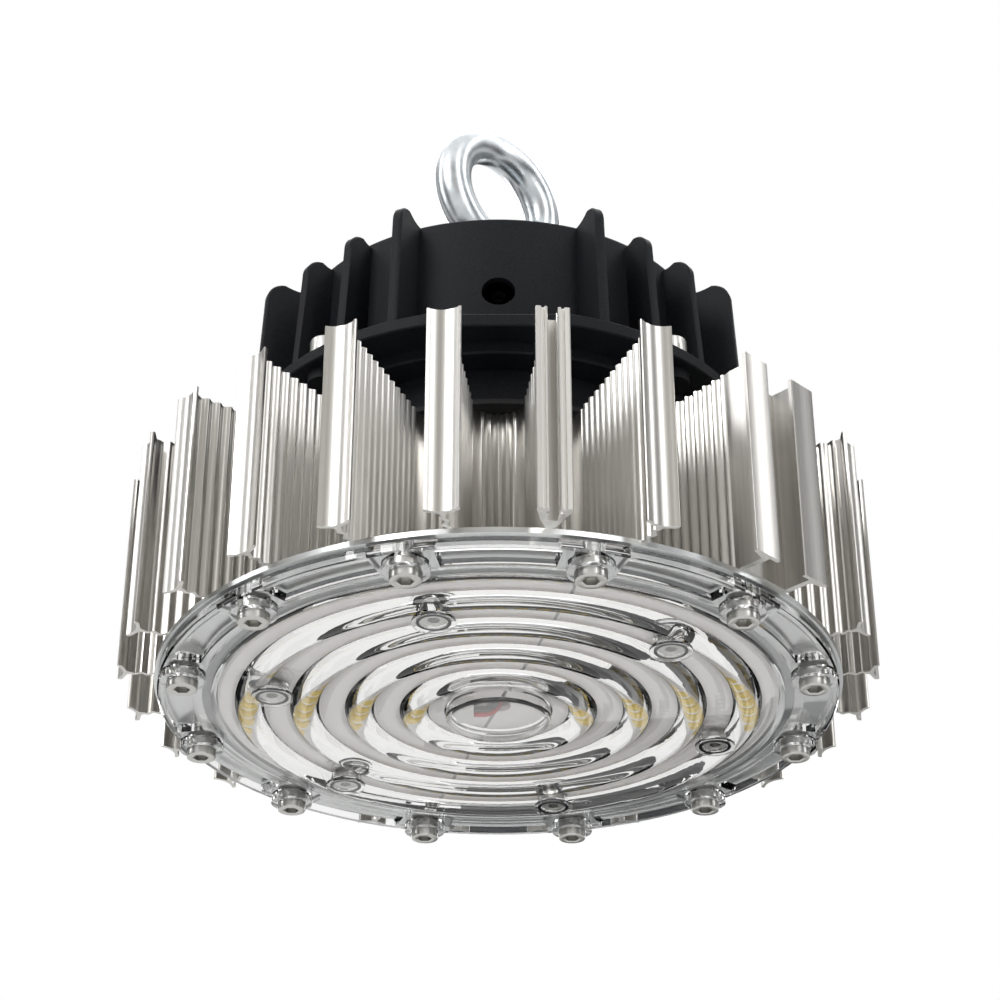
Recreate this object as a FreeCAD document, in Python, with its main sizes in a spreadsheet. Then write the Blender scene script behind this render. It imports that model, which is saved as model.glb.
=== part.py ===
"""High bay light: a driver housing and an eye bolt above a round extruded heat sink with its lens.

Millimetres, +Z up. The origin lies on the axis, in the plane of the lens screws' end faces, so the
light stands on those twelve screw heads when it is not hanging from its eye.
Angles round the axis are measured from the front (-Y), positive towards +X.
"""
import FreeCAD, Part
import Sketcher
import math
import os

V = FreeCAD.Vector

# ---------------------------------------------------------------- driving sizes
SIZES = {
    # lens screws, on which the light stands
    "screw_circle": 90.0, "screw_count": 12, "screw_first": 15.0,
    "screw_head_dia": 8.5, "screw_head_tall": 5.0, "screw_shank_dia": 5.0, "screw_hole_dia": 5.4,
    "screw_socket": 4.0, "screw_socket_deep": 2.5, "screw_tip_over": 1.0, "thread_gap": 0.05,
    # lens
    "lens_rim": 96.4, "lens_flange_tall": 3.4, "lens_cavity": 79.6, "lens_wall": 1.7,
    "lens_face_step": 0.8, "lens_board_gap": 0.9, "lens_pocket_in": 86.6, "lens_pocket_out": 94.6,
    "lens_pocket_deep": 2.2, "lens_pocket_half": 9.6,
    "ring_count": 4, "ring_first": 24.0, "ring_pitch": 15.5, "ring_half": 4.1, "ring_tall": 3.0,
    "ring_skin": 1.5, "ring_flats": 4,
    "dome_radius": 15.0, "dome_tall": 3.3, "dome_skin": 1.4, "dome_edge": 1.2,
    # seal in the lens
    "seal_mid": 82.6, "seal_wide": 2.4, "seal_tall": 1.6, "seal_gap": 0.1,
    # base plate, the two half boards and their chips
    "plate_radius": 97.5, "plate_thick": 1.5, "board_radius": 79.0, "board_thick": 1.6,
    "board_seam": 1.0, "seam_turn": 15.0, "wire_hole": 7.0,
    "chip_side": 3.0, "chip_tall": 0.7, "chip_pitch": 5.45,
    # inner screws with their clear plugs
    "inner_circle": 65.0, "inner_count": 6, "inner_first": 45.0, "inner_head_dia": 7.0,
    "inner_head_tall": 2.8, "inner_shank_dia": 4.0, "inner_hole_dia": 4.4, "inner_socket": 3.0,
    "inner_socket_deep": 1.8, "inner_floor": 1.2, "boss_outer": 9.3, "boss_bore": 7.6, "boss_tall": 2.5,
    "plug_dia": 11.7, "plug_thick": 0.9, "plug_spigot": 0.8, "plug_fit": 0.1, "plug_room": 0.3, "plug_seal_tall": 0.4,
    # clinch nuts above the plate
    "nut_tall": 4.0, "nut_wall": 2.0,
    # heat sink extrusion
    "fin_count": 24, "fin_first": 7.5, "sink_long": 60.0, "root_low": 53.8, "root_high": 60.5,
    "sink_bore": 36.0, "web_thick": 1.2, "web_wave": 0.6, "web_pitch": 4.4, "fin_tip": 107.7,
    "root_flats": 5, "dish_flats": 4, "cap_wide": 9.1, "cap_dish": 1.3, "cap_lip": 0.9, "cap_neck": 104.6,
    "slot_mouth": 2.7, "slot_inside": 4.6, "slot_deep": 6.2, "slot_lip": 1.6,
    "slot_neck": 3.0, "slot_neck_long": 3.0,
    "channel_angle": 45.0, "channel_face": 107.2, "channel_mouth": 10.2, "channel_inside": 16.0,
    "channel_outside": 28.6, "channel_deep": 9.1, "channel_wall": 1.8, "channel_lip": 1.2,
    # driver base on the heat sink
    "pad_thick": 1.5, "pad_radius": 60.0, "neck_radius": 57.5, "neck_tall": 13.0, "neck_wall": 4.0,
    "neck_floor": 4.0, "base_radius": 66.5, "base_thick": 3.6, "ear_root": 1.0,
    "base_opening": 20.0,
    "base_screw_circle": 46.0, "base_screw_count": 6, "base_screw_dia": 4.0, "base_screw_hole": 4.4,
    "base_screw_head": 7.0, "base_screw_head_tall": 3.0, "base_screw_bite": 10.0, "base_port_spare": 2.0,
    # seal between the base and the housing
    "rim_seal_mid": 63.8, "rim_seal_wide": 2.0, "rim_seal_tall": 1.6,
    # driver housing
    "flange_radius": 71.0, "flange_thick": 4.0, "lug_radius": 77.4, "lug_half": 12.5, "lug_first": 45.0,
    "lug_count": 4, "lug_screw_circle": 70.0, "cup_radius": 64.0, "cup_top_radius": 62.6, "cup_tall": 38.5,
    "cup_wall": 3.0, "cup_edge": 1.2, "deck_thick": 3.5, "deck_rise": 9.0, "crown_radius": 19.0,
    "crown_rise": 16.0, "crown_foot": 26.0, "crown_thick": 10.5,
    "rib_thick": 3.0, "rib_foot": 76.6, "rib_head": 74.6, "rib_over": 3.6, "rib_corner": 4.5,
    "rib_scoop": 4.4, "rib_first": 22.5, "rib_pitch": 15.0, "rib_side_count": 10,
    "port_dia": 9.6, "port_deep": 3.5, "port_hole": 3.9, "port_hole_deep": 4.0, "port_boss": 14.0,
    "port_boss_deep": 9.0, "port_height": 13.2, "flange_screw_head": 8.6, "flange_screw_head_tall": 3.2,
    "flange_screw_dia": 5.0, "flange_screw_hole": 5.4, "flange_screw_socket": 3.0,
    "flange_screw_socket_deep": 1.6,
    # driver inside
    "driver_radius": 50.0, "driver_tall": 30.0, "driver_foot": 57.0, "driver_foot_thick": 1.5,
    # eye bolt
    "eye_ring": 19.6, "eye_bar": 5.8, "eye_turn": 42.5, "eye_centre_over": 38.7, "eye_thread": 12.0,
    "eye_bite": 9.0, "eye_neck": 8.0,
    "eye_nut_flats": 19.0, "eye_nut_tall": 7.5, "eye_washer_dia": 24.0, "eye_washer_thick": 2.5,
    # mains inlet gland on the crown's rear slope
    "gland_back": 44.0, "gland_seat": 11.5, "gland_seat_rise": 8.0, "gland_body_flats": 20.0,
    "gland_nut_flats": 18.0, "gland_bore": 8.0, "gland_body_tall": 6.0, "gland_nut_tall": 9.0,
    "gland_thread": 12.0, "gland_stub": 12.0, "gland_seal_wall": 2.0, "gland_seal_tall": 8.0,
    # leads from the driver to the board
    "lead_dia": 1.8, "lead_apart": 3.2, "lead_bend": 4.5, "lead_start": 0.3, "connector_long": 9.0,
    "connector_wide": 5.0, "connector_tall": 3.2, "connector_out": 9.5,
}

doc = FreeCAD.newDocument("high_bay_light")
sheet = doc.addObject("Spreadsheet::Sheet", "sizes")
for row, (alias, value) in enumerate(SIZES.items(), start=1):
    sheet.set(f"A{row}", alias)
    sheet.set(f"B{row}", str(value))
    sheet.setAlias(f"B{row}", alias)
doc.recompute()


def size(alias):
    """The value of one driving size."""
    return float(sheet.get(alias))


# the layers that stand on each other, from the standing face upwards
STACK = (
    "screw_head_tall", "lens_flange_tall", "plate_thick", "sink_long", "pad_thick", "neck_tall",
    "base_thick", "flange_thick", "cup_tall", "crown_rise",
)


def level(top):
    """Height of the top of one layer."""
    return sum(size(alias) for alias in STACK[:STACK.index(top) + 1])


def lift(top, extra=""):
    """The same height as an expression, with more terms added."""
    return " + ".join(f"sizes.{alias}" for alias in STACK[:STACK.index(top) + 1]) + extra


z_seat = level("screw_head_tall")
z_plate = level("lens_flange_tall")
z_sink = level("plate_thick")
z_pad = level("sink_long")
z_neck = level("pad_thick")
z_base = level("neck_tall")
z_flange = level("base_thick")
z_cup = level("flange_thick")
z_rim = level("cup_tall")
z_crown = level("crown_rise")
z_board = z_plate - size("board_thick")
z_inside = z_board - size("lens_board_gap")
z_face = z_inside - size("lens_wall")
z_boss = z_face - size("boss_tall")

PARTS = []


# ---------------------------------------------------------------- helpers
def keep(thing, label):
    """Name a finished sub-part and put it on the list that is written out."""
    thing.Label = label
    PARTS.append(thing)
    return thing


def new_body(name):
    body = doc.addObject("PartDesign::Body", name)
    body.AllowCompound = True
    return body


def plane_of(body, role):
    return next(f for f in body.Origin.OriginFeatures if f.Role == role)


def new_sketch(body, name, role="XY_Plane", lift=None):
    """A sketch on one of the body's own planes; lift is an expression for its height over it."""
    sketch = body.newObject("Sketcher::SketchObject", name)
    sketch.AttachmentSupport = [(plane_of(body, role), "")]
    sketch.MapMode = "FlatFace"
    if lift is not None:
        sketch.setExpression("AttachmentOffset.Base.z", lift)
    return sketch


def circle(sketch, radius, x=0.0, y=0.0):
    """A circle whose radius follows an expression."""
    index = sketch.addGeometry(Part.Circle(V(x, y, 0), V(0, 0, 1), 1.0))
    number = sketch.addConstraint(Sketcher.Constraint("Radius", index, 1.0))
    sketch.setExpression(f"Constraints[{number}]", radius)
    return index


def outline(sketch, steps):
    """A closed outline: each step is a point, or a pair (point on the arc, end point)."""
    here = steps[0]
    last = steps[-1][1] if isinstance(steps[-1][0], tuple) else steps[-1]
    closes = math.dist(here, last) < 1e-6
    for step in steps[1:] if closes else steps[1:] + [here]:
        if isinstance(step[0], tuple):
            curve = Part.Arc(V(*here, 0), V(*step[0], 0), V(*step[1], 0))
            here = step[1]
        else:
            curve = Part.LineSegment(V(*here, 0), V(*step, 0))
            here = step
        sketch.addGeometry(curve)


def pad(body, sketch, name, length, down=False, both=False):
    feature = body.newObject("PartDesign::Pad", name)
    feature.Profile = sketch
    feature.setExpression("Length", length)
    feature.Reversed = down
    feature.Midplane = both
    sketch.Visibility = False
    return feature


def pocket(body, sketch, name, depth, up=False, both=False):
    feature = body.newObject("PartDesign::Pocket", name)
    feature.Profile = sketch
    feature.setExpression("Length", depth)
    feature.Reversed = up
    feature.Midplane = both
    sketch.Visibility = False
    return feature


def revolve(body, sketch, name, cut=False):
    kind = "PartDesign::Groove" if cut else "PartDesign::Revolution"
    feature = body.newObject(kind, name)
    feature.Profile = sketch
    feature.ReferenceAxis = (sketch, ["V_Axis"])
    feature.Angle = 360.0
    sketch.Visibility = False
    return feature


def turned(angle, radial, side=0.0):
    """Plan position of a point given along and across the direction at an angle from the front."""
    turn = math.radians(angle)
    x = radial * math.sin(turn) + side * math.cos(turn)
    y = -radial * math.cos(turn) + side * math.sin(turn)
    return (x, y)


def turned_steps(angle, steps):
    """An outline of (radial, side) points turned to an angle."""
    placed = []
    for step in steps:
        if isinstance(step[0], tuple):
            placed.append((turned(angle, *step[0]), turned(angle, *step[1])))
        else:
            placed.append(turned(angle, *step))
    return placed


def cylinder(name, radius, height, bottom):
    """A Part cylinder on the axis with its sizes bound to expressions."""
    solid = doc.addObject("Part::Cylinder", name)
    solid.setExpression("Radius", radius)
    solid.setExpression("Height", height)
    solid.Placement = FreeCAD.Placement(V(0, 0, bottom), FreeCAD.Rotation())
    return solid


def fuse(name, pieces):
    solid = doc.addObject("Part::MultiFuse", name)
    solid.Shapes = pieces
    return solid


def ring_of(label, source, count, first, radius):
    """One node of identical pieces set round a circle, made from a finished piece on the axis."""
    doc.recompute()
    copies = []
    for k in range(int(count)):
        x, y = turned(first + k * 360.0 / count, radius)
        shape = source.Shape.copy()
        shape.rotate(V(0, 0, 0), V(0, 0, 1), first + k * 360.0 / count)
        shape.translate(V(x, y, 0))
        copies.append(shape)
    group = doc.addObject("Part::Feature", label)
    group.Shape = Part.makeCompound(copies)
    return keep(group, label)


# ---------------------------------------------------------------- heat sink
def flats(start, through, end, count):
    """Points of a drawn arc that the die cuts as a number of flats, so that it shows as ridges."""
    arc = Part.Arc(V(*start, 0), V(*through, 0), V(*end, 0))
    points = arc.toShape().discretize(int(count) + 1)
    return [(point.x, point.y) for point in points]


def web_path(reach):
    """The two wavy sides of a web as (radial, side) points, from its root out to a radius."""
    half = size("web_thick") / 2
    root = size("root_high")
    count = int((reach - root) / (size("web_pitch") / 2))
    step = (reach - root) / count
    lower = []
    upper = []
    for k in range(count + 1):
        sway = 0.0 if k in (0, count) else size("web_wave") * (-1) ** k
        lower.append((root + k * step, sway - half))
        upper.append((root + k * step, sway + half))
    return lower, upper


def capped_fin():
    """A plain fin: out along one side of its web, round its dished cap and back."""
    lower, upper = web_path(size("cap_neck"))
    tip = size("fin_tip")
    wide = size("cap_wide") / 2
    lip = tip - size("cap_lip")
    dish = flats((tip, -wide), (tip - size("cap_dish"), 0.0), (tip, wide), size("dish_flats"))
    return lower + [(lip, -wide)] + dish + [(lip, wide)] + list(reversed(upper))


def slotted_fin():
    """The fin that ends in a screw slot between two arms, on a solid neck."""
    tip = size("fin_tip")
    wide = size("cap_wide") / 2
    mouth = size("slot_mouth") / 2
    inside = size("slot_inside") / 2
    lip = tip - size("slot_lip")
    floor = tip - size("slot_deep")
    neck = floor - size("slot_neck_long")
    lower, upper = web_path(neck)
    arm = [(neck, size("slot_neck") / 2), (floor, size("slot_neck") / 2 + mouth / 2), (lip, wide)]
    arm += [(tip, wide), (tip, mouth), (lip, mouth), (lip - mouth / 2, inside)]
    arm += [(lip - mouth, mouth), (floor, mouth)]
    first = [(r, -side) for r, side in arm]
    return lower + first + list(reversed(arm)) + list(reversed(upper))


def channel_corner(sign):
    """Radius and angle at which a web meets one back corner of the bracket channel."""
    back = size("channel_face") - size("channel_deep") - size("channel_wall") / 2
    side = sign * (size("channel_inside") + size("channel_wall")) / 2
    return math.hypot(back, side), size("channel_angle") + math.degrees(math.atan2(side, back))


def channel_mouth_path():
    """The channel from the outside of one wall, round both lips, to the outside of the other."""
    face = size("channel_face")
    mouth = size("channel_mouth") / 2
    inside = size("channel_inside") / 2
    outside = size("channel_outside") / 2
    outer = inside + size("channel_wall")
    lip = face - size("channel_lip")
    floor = face - size("channel_deep")
    half = [(floor, outer), (lip - size("channel_lip"), outer), (lip, outside), (face, outside)]
    half += [(face, mouth), (lip, mouth), (lip, inside), (floor, inside)]
    first = [(r, -side) for r, side in half]
    return first + list(reversed(half))


def sink_outline():
    """The whole outer section of the extrusion, fin after fin round the circle."""
    pitch = 360.0 / size("fin_count")
    half_web = size("web_thick") / 2
    root = size("root_high")
    fins = []
    for k in range(int(size("fin_count"))):
        angle = size("fin_first") + k * pitch
        if k == 0:
            fins.append((angle, turned_steps(angle, slotted_fin())))
        elif abs(angle - size("channel_angle")) > pitch:
            fins.append((angle, turned_steps(angle, capped_fin())))
    reach, left_angle = channel_corner(-1)
    right_angle = channel_corner(1)[1]
    lower, upper = web_path(reach)
    pair = turned_steps(left_angle, lower[:-1])
    pair += turned_steps(size("channel_angle"), channel_mouth_path())
    pair += turned_steps(right_angle, list(reversed(upper[:-1])))
    fins.append((left_angle, pair))
    fins.sort()
    steps = []
    for k, (angle, path) in enumerate(fins):
        steps += path if k == 0 else path[1:]
        here = right_angle if angle == left_angle else angle
        after = fins[(k + 1) % len(fins)][0]
        if after < here:
            after += 360.0
        middle = turned((here + after) / 2, size("root_low"))
        end = turned(after, root, -half_web)
        steps += flats(turned(here, root, half_web), middle, end, size("root_flats"))[1:]
    return steps


def channel_cell():
    """The closed cell between the two webs, the core and the back of the bracket channel."""
    reach, left_angle = channel_corner(-1)
    right_angle = channel_corner(1)[1]
    lower, upper = web_path(reach)
    back = size("channel_face") - size("channel_deep") - size("channel_wall")
    side = size("channel_inside") / 2
    cell = turned_steps(left_angle, upper[:-1])
    cell += turned_steps(size("channel_angle"), [(back, -side), (back, side)])
    cell += turned_steps(right_angle, list(reversed(lower[:-1])))
    middle = turned(size("channel_angle"), size("root_low"))
    return cell + flats(cell[-1], middle, cell[0], size("root_flats"))[1:]


def make_heat_sink():
    body = new_body("heat_sink_body")
    section = new_sketch(body, "section", lift=lift("plate_thick"))
    outline(section, sink_outline())
    outline(section, channel_cell())
    circle(section, "sizes.sink_bore / 2")
    pad(body, section, "extrusion", "sizes.sink_long")
    ports = new_sketch(body, "screw_ports", lift=lift("sink_long"))
    for k in range(int(size("base_screw_count"))):
        x, y = turned(k * 360.0 / size("base_screw_count"), size("base_screw_circle"))
        circle(ports, "sizes.base_screw_dia / 2", x, y)
    pocket(body, ports, "screw_port_holes", "sizes.base_screw_bite + sizes.base_port_spare")
    return keep(body, "heat_sink")


def circles(sketch, radius, count, first, ring_radius):
    """Equal circles set round a larger circle."""
    for k in range(int(count)):
        circle(sketch, radius, *turned(first + k * 360.0 / count, ring_radius))


def arc_band(inner, outer, middle, half):
    """A closed band between two radii, reaching the same angle to each side of its middle."""
    start = turned(middle - half, inner)
    outer_arc = (turned(middle, outer), turned(middle + half, outer))
    inner_arc = (turned(middle, inner), start)
    return [start, turned(middle - half, outer), outer_arc, turned(middle + half, inner), inner_arc]


# ---------------------------------------------------------------- fasteners
def socket_screw(name, head, tall, shank, reach, socket, deep, head_end, head_up=False):
    """A socket-head screw on the axis: its head starts at head_end, its shank runs on past it.

    All sizes but head_end are expressions; head_up puts the head above the shank.
    """
    body = new_body(name)
    away = -1 if head_up else 1
    ends = new_sketch(body, name + "_head")
    ends.AttachmentOffset.Base = V(0, 0, head_end)
    circle(ends, f"{head} / 2")
    pad(body, ends, name + "_head_pad", tall, down=head_up)
    stem = new_sketch(body, name + "_stem")
    stem.AttachmentOffset.Base = V(0, 0, head_end)
    circle(stem, f"{shank} / 2")
    pad(body, stem, name + "_shank", reach, down=head_up)
    drive = new_sketch(body, name + "_drive")
    drive.AttachmentOffset.Base = V(0, 0, head_end)
    outline(drive, hexagon(size(socket)))
    pocket(body, drive, name + "_socket", deep, up=not head_up)
    return body


def hexagon(flats_apart):
    """Corners of a hexagon with a given distance across its flats."""
    corner = flats_apart / math.sqrt(3.0)
    return [(corner * math.cos(k * math.pi / 3), corner * math.sin(k * math.pi / 3)) for k in range(6)]


def ring_piece(name, outer, inner, height, bottom):
    """A plain ring on the axis between two diameters."""
    body = new_body(name)
    section = new_sketch(body, name + "_section")
    section.AttachmentOffset.Base = V(0, 0, bottom)
    circle(section, f"({outer}) / 2")
    circle(section, f"({inner}) / 2")
    pad(body, section, name + "_pad", height)
    return body


def make_lens_screws():
    reach = "sizes.screw_head_tall + sizes.lens_flange_tall + sizes.plate_thick + sizes.nut_tall"
    reach += " + sizes.screw_tip_over"
    screw = socket_screw(
        "lens_screw", "sizes.screw_head_dia", "sizes.screw_head_tall", "sizes.screw_shank_dia", reach,
        "screw_socket", "sizes.screw_socket_deep", 0.0,
    )
    ring_of("lens_screws", screw, size("screw_count"), size("screw_first"), size("screw_circle"))
    bore = "sizes.screw_shank_dia + 2 * sizes.thread_gap"
    nut = ring_piece("lens_nut", "sizes.screw_shank_dia + 2 * sizes.nut_wall", bore, "sizes.nut_tall", z_sink)
    ring_of("clinch_nuts", nut, size("screw_count"), size("screw_first"), size("screw_circle"))


def make_inner_screws():
    head_end = z_board - size("inner_floor") - size("inner_head_tall")
    reach = "sizes.inner_head_tall + sizes.inner_floor + sizes.board_thick + sizes.plate_thick"
    reach += " + sizes.nut_tall + sizes.screw_tip_over"
    screw = socket_screw(
        "board_screw", "sizes.inner_head_dia", "sizes.inner_head_tall", "sizes.inner_shank_dia", reach,
        "inner_socket", "sizes.inner_socket_deep", head_end,
    )
    ring_of("inner_screws", screw, size("inner_count"), size("inner_first"), size("inner_circle"))
    bore = "sizes.inner_shank_dia + 2 * sizes.thread_gap"
    wide = "sizes.inner_shank_dia + 2 * sizes.nut_wall"
    nut = ring_piece("board_nut", wide, bore, "sizes.nut_tall", z_sink)
    ring_of("inner_clinch_nuts", nut, size("inner_count"), size("inner_first"), size("inner_circle"))


def make_plugs():
    """The clear push-in plugs that close the bosses over the inner screws, with their seals."""
    body = new_body("plug")
    cap = new_sketch(body, "plug_cap")
    cap.AttachmentOffset.Base = V(0, 0, z_boss - size("plug_seal_tall"))
    circle(cap, "sizes.plug_dia / 2")
    pad(body, cap, "plug_flange", "sizes.plug_thick", down=True)
    spigot = new_sketch(body, "plug_stem")
    spigot.AttachmentOffset.Base = V(0, 0, z_boss - size("plug_seal_tall"))
    circle(spigot, "sizes.boss_bore / 2 - sizes.plug_fit")
    pad(body, spigot, "plug_spigot", "sizes.plug_seal_tall + sizes.plug_spigot")
    ring_of("lens_plugs", body, size("inner_count"), size("inner_first"), size("inner_circle"))
    seal = ring_piece(
        "plug_seal", "sizes.boss_outer", "sizes.boss_bore", "sizes.plug_seal_tall",
        z_boss - size("plug_seal_tall"),
    )
    ring_of("plug_seals", seal, size("inner_count"), size("inner_first"), size("inner_circle"))


# ---------------------------------------------------------------- lens
def ring_radii():
    return [size("ring_first") + k * size("ring_pitch") for k in range(int(size("ring_count")))]


def lens_profile():
    """Half section of the moulding: the outer face from the axis to the rim, then the inner one."""
    tip = z_face - size("dome_tall")
    edge = size("dome_edge")
    dome = size("dome_radius")
    bend = edge * (1 - math.sqrt(0.5))
    outer = [(0, tip), (dome - edge, tip), ((dome - bend, tip + bend), (dome, tip + edge)), (dome, z_face)]
    inner = [(0, tip + size("dome_skin")), (dome - size("dome_skin"), tip + size("dome_skin"))]
    inner.append((dome - size("dome_skin"), z_inside))
    for radius in ring_radii():
        half = size("ring_half")
        hollow = half - size("ring_skin")
        low = z_face - size("ring_tall")
        high = z_inside - size("ring_tall")
        outer += flats((radius - half, z_face), (radius, low), (radius + half, z_face), size("ring_flats"))
        inner += flats(
            (radius - hollow, z_inside), (radius, high), (radius + hollow, z_inside), size("ring_flats")
        )
    step = size("lens_cavity") + size("lens_wall")
    groove_in = size("seal_mid") - size("seal_wide") / 2 - size("seal_gap")
    groove_out = size("seal_mid") + size("seal_wide") / 2 + size("seal_gap")
    groove = z_plate - size("seal_tall")
    outer += [(step, z_face), (step, z_seat), (size("lens_rim"), z_seat), (size("lens_rim"), z_plate)]
    outer += [(groove_out, z_plate), (groove_out, groove), (groove_in, groove), (groove_in, z_plate)]
    outer += [(size("lens_cavity"), z_plate), (size("lens_cavity"), z_inside)]
    return outer + list(reversed(inner))


def make_lens():
    body = new_body("lens_body")
    profile = new_sketch(body, "lens_section", "XZ_Plane")
    outline(profile, lens_profile())
    revolve(body, profile, "lens_moulding")
    columns = new_sketch(body, "boss_columns")
    columns.AttachmentOffset.Base = V(0, 0, z_boss)
    circles(columns, "sizes.boss_outer / 2", size("inner_count"), size("inner_first"), size("inner_circle"))
    to_board = "sizes.boss_tall + sizes.lens_wall + sizes.lens_board_gap"
    pad(body, columns, "bosses", to_board)
    faces = new_sketch(body, "boss_faces")
    faces.AttachmentOffset.Base = V(0, 0, z_boss)
    face = "sizes.plug_dia / 2 + sizes.plug_room"
    circles(faces, face, size("inner_count"), size("inner_first"), size("inner_circle"))
    pocket(body, faces, "plug_faces", "sizes.boss_tall")
    bores = new_sketch(body, "boss_bores")
    bores.AttachmentOffset.Base = V(0, 0, z_boss)
    circles(bores, "sizes.boss_bore / 2", size("inner_count"), size("inner_first"), size("inner_circle"))
    pocket(body, bores, "boss_sockets", to_board + " - sizes.inner_floor", up=True)
    floors = new_sketch(body, "boss_floors")
    floors.AttachmentOffset.Base = V(0, 0, z_boss)
    circles(floors, "sizes.inner_hole_dia / 2", size("inner_count"), size("inner_first"), size("inner_circle"))
    pocket(body, floors, "boss_holes", to_board, up=True)
    rim = new_sketch(body, "rim_holes", lift=lift("screw_head_tall"))
    circles(rim, "sizes.screw_hole_dia / 2", size("screw_count"), size("screw_first"), size("screw_circle"))
    pocket(body, rim, "rim_screw_holes", "sizes.lens_flange_tall", up=True)
    hollows = new_sketch(body, "rim_hollows", lift=lift("screw_head_tall"))
    for k in range(int(size("screw_count"))):
        middle = size("screw_first") + (k + 0.5) * 360.0 / size("screw_count")
        band = arc_band(size("lens_pocket_in"), size("lens_pocket_out"), middle, size("lens_pocket_half"))
        outline(hollows, band)
    pocket(body, hollows, "rim_pockets", "sizes.lens_pocket_deep", up=True)
    return keep(body, "lens")


def make_lens_seal():
    wide = "2 * sizes.seal_mid + sizes.seal_wide"
    narrow = "2 * sizes.seal_mid - sizes.seal_wide"
    seal = ring_piece("lens_seal_ring", wide, narrow, "sizes.seal_tall", z_plate - size("seal_tall"))
    return keep(seal, "lens_seal")


# ---------------------------------------------------------------- plate, boards and chips
def make_base_plate():
    body = new_body("base_plate_body")
    blank = new_sketch(body, "plate_blank", lift=lift("lens_flange_tall"))
    circle(blank, "sizes.plate_radius")
    circle(blank, "sizes.wire_hole / 2")
    circles(blank, "sizes.screw_hole_dia / 2", size("screw_count"), size("screw_first"), size("screw_circle"))
    circles(blank, "sizes.inner_hole_dia / 2", size("inner_count"), size("inner_first"), size("inner_circle"))
    pad(body, blank, "plate_sheet", "sizes.plate_thick")
    return keep(body, "base_plate")


def make_half_board(label, across):
    """One half board; across is 1 or -1, the side of the seam it lies on."""
    body = new_body(label + "_body")
    blank = new_sketch(body, label + "_blank")
    blank.AttachmentOffset.Base = V(0, 0, z_board)
    gap = across * size("board_seam") / 2
    reach = math.sqrt(size("board_radius") ** 2 - gap ** 2)
    notch = math.sqrt((size("wire_hole") / 2) ** 2 - gap ** 2)
    steps = [(reach, gap), ((0, across * size("board_radius")), (-reach, gap)), (-notch, gap)]
    steps += [((0, across * size("wire_hole") / 2), (notch, gap)), (reach, gap)]
    outline(blank, turned_steps(size("seam_turn"), steps))
    for k in range(int(size("inner_count"))):
        angle = size("inner_first") + k * 360.0 / size("inner_count")
        if math.sin(math.radians(angle - size("seam_turn"))) * across > 0:
            circle(blank, "sizes.inner_hole_dia / 2", *turned(angle, size("inner_circle")))
    pad(body, blank, label + "_laminate", "sizes.board_thick")
    return keep(body, label)


def chip_places():
    """Angle and radius of every chip: even rows under the lens's rings, clear of the bosses."""
    places = []
    room = size("boss_outer") / 2 + size("chip_side") * math.sqrt(0.5)
    bosses = [
        turned(size("inner_first") + k * 360.0 / size("inner_count"), size("inner_circle"))
        for k in range(int(size("inner_count")))
    ]
    for radius in ring_radii():
        half_count = int(math.pi * radius / size("chip_pitch"))
        for k in range(2 * half_count):
            angle = size("seam_turn") + (k + 0.5) * 180.0 / half_count
            here = turned(angle, radius)
            if min(math.dist(here, boss) for boss in bosses) > room:
                places.append((angle, radius))
    return places


def make_chips():
    side = size("chip_side")
    chips = []
    for angle, radius in chip_places():
        chip = Part.makeBox(side, side, size("chip_tall"), V(-side / 2, -side / 2, 0))
        chip.rotate(V(0, 0, 0), V(0, 0, 1), angle)
        chip.translate(V(*turned(angle, radius), z_board - size("chip_tall")))
        chips.append(chip)
    group = doc.addObject("Part::Feature", "chip_group")
    group.Shape = Part.makeCompound(chips)
    return keep(group, "light_chips")


# ---------------------------------------------------------------- leads
def make_connector():
    box = doc.addObject("Part::Box", "connector_box")
    box.setExpression("Length", "sizes.connector_wide")
    box.setExpression("Width", "sizes.connector_long")
    box.setExpression("Height", "sizes.connector_tall")
    corner = V(
        -size("connector_out") - size("connector_wide") / 2, -size("connector_long") / 2,
        z_board - size("connector_tall"),
    )
    box.Placement = FreeCAD.Placement(corner, FreeCAD.Rotation())
    return keep(box, "board_connector")


def make_lead(label, across):
    """A lead from the driver's underside, down through the sink and over to the connector."""
    bend = size("lead_bend")
    start = size("lead_start")
    side = across * size("lead_apart") / 2
    z_run = z_board - size("connector_tall") / 2
    quarter = bend * (1 - math.sqrt(0.5))
    top = V(start, side, z_flange)
    turn = V(start, side, z_run + bend)
    through = V(start - quarter, side, z_run + quarter)
    level_off = V(start - bend, side, z_run)
    end = V(size("connector_wide") / 2 - size("connector_out"), side, z_run)
    edges = [
        Part.LineSegment(top, turn).toShape(),
        Part.Arc(turn, through, level_off).toShape(),
        Part.LineSegment(level_off, end).toShape(),
    ]
    rim = Part.Wire([Part.makeCircle(size("lead_dia") / 2, top, V(0, 0, 1))])
    lead = doc.addObject("Part::Feature", label + "_sweep")
    lead.Shape = Part.Wire(edges).makePipeShell([rim], True, False)
    return keep(lead, label)


# ---------------------------------------------------------------- driver base
def lug_middles():
    return [size("lug_first") + k * 360.0 / size("lug_count") for k in range(int(size("lug_count")))]


def lug_blank(sketch, inner):
    """The lugs' outline, shared by the base's ears and the housing's lugs."""
    for middle in lug_middles():
        outline(sketch, arc_band(inner, size("lug_radius"), middle, size("lug_half")))


def make_sink_pad():
    body = new_body("sink_pad_body")
    blank = new_sketch(body, "pad_blank", lift=lift("sink_long"))
    circle(blank, "sizes.pad_radius")
    circle(blank, "sizes.sink_bore / 2")
    count = size("base_screw_count")
    circles(blank, "sizes.base_screw_hole / 2", count, 0.0, size("base_screw_circle"))
    pad(body, blank, "pad_sheet", "sizes.pad_thick")
    return keep(body, "sink_pad")


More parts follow.
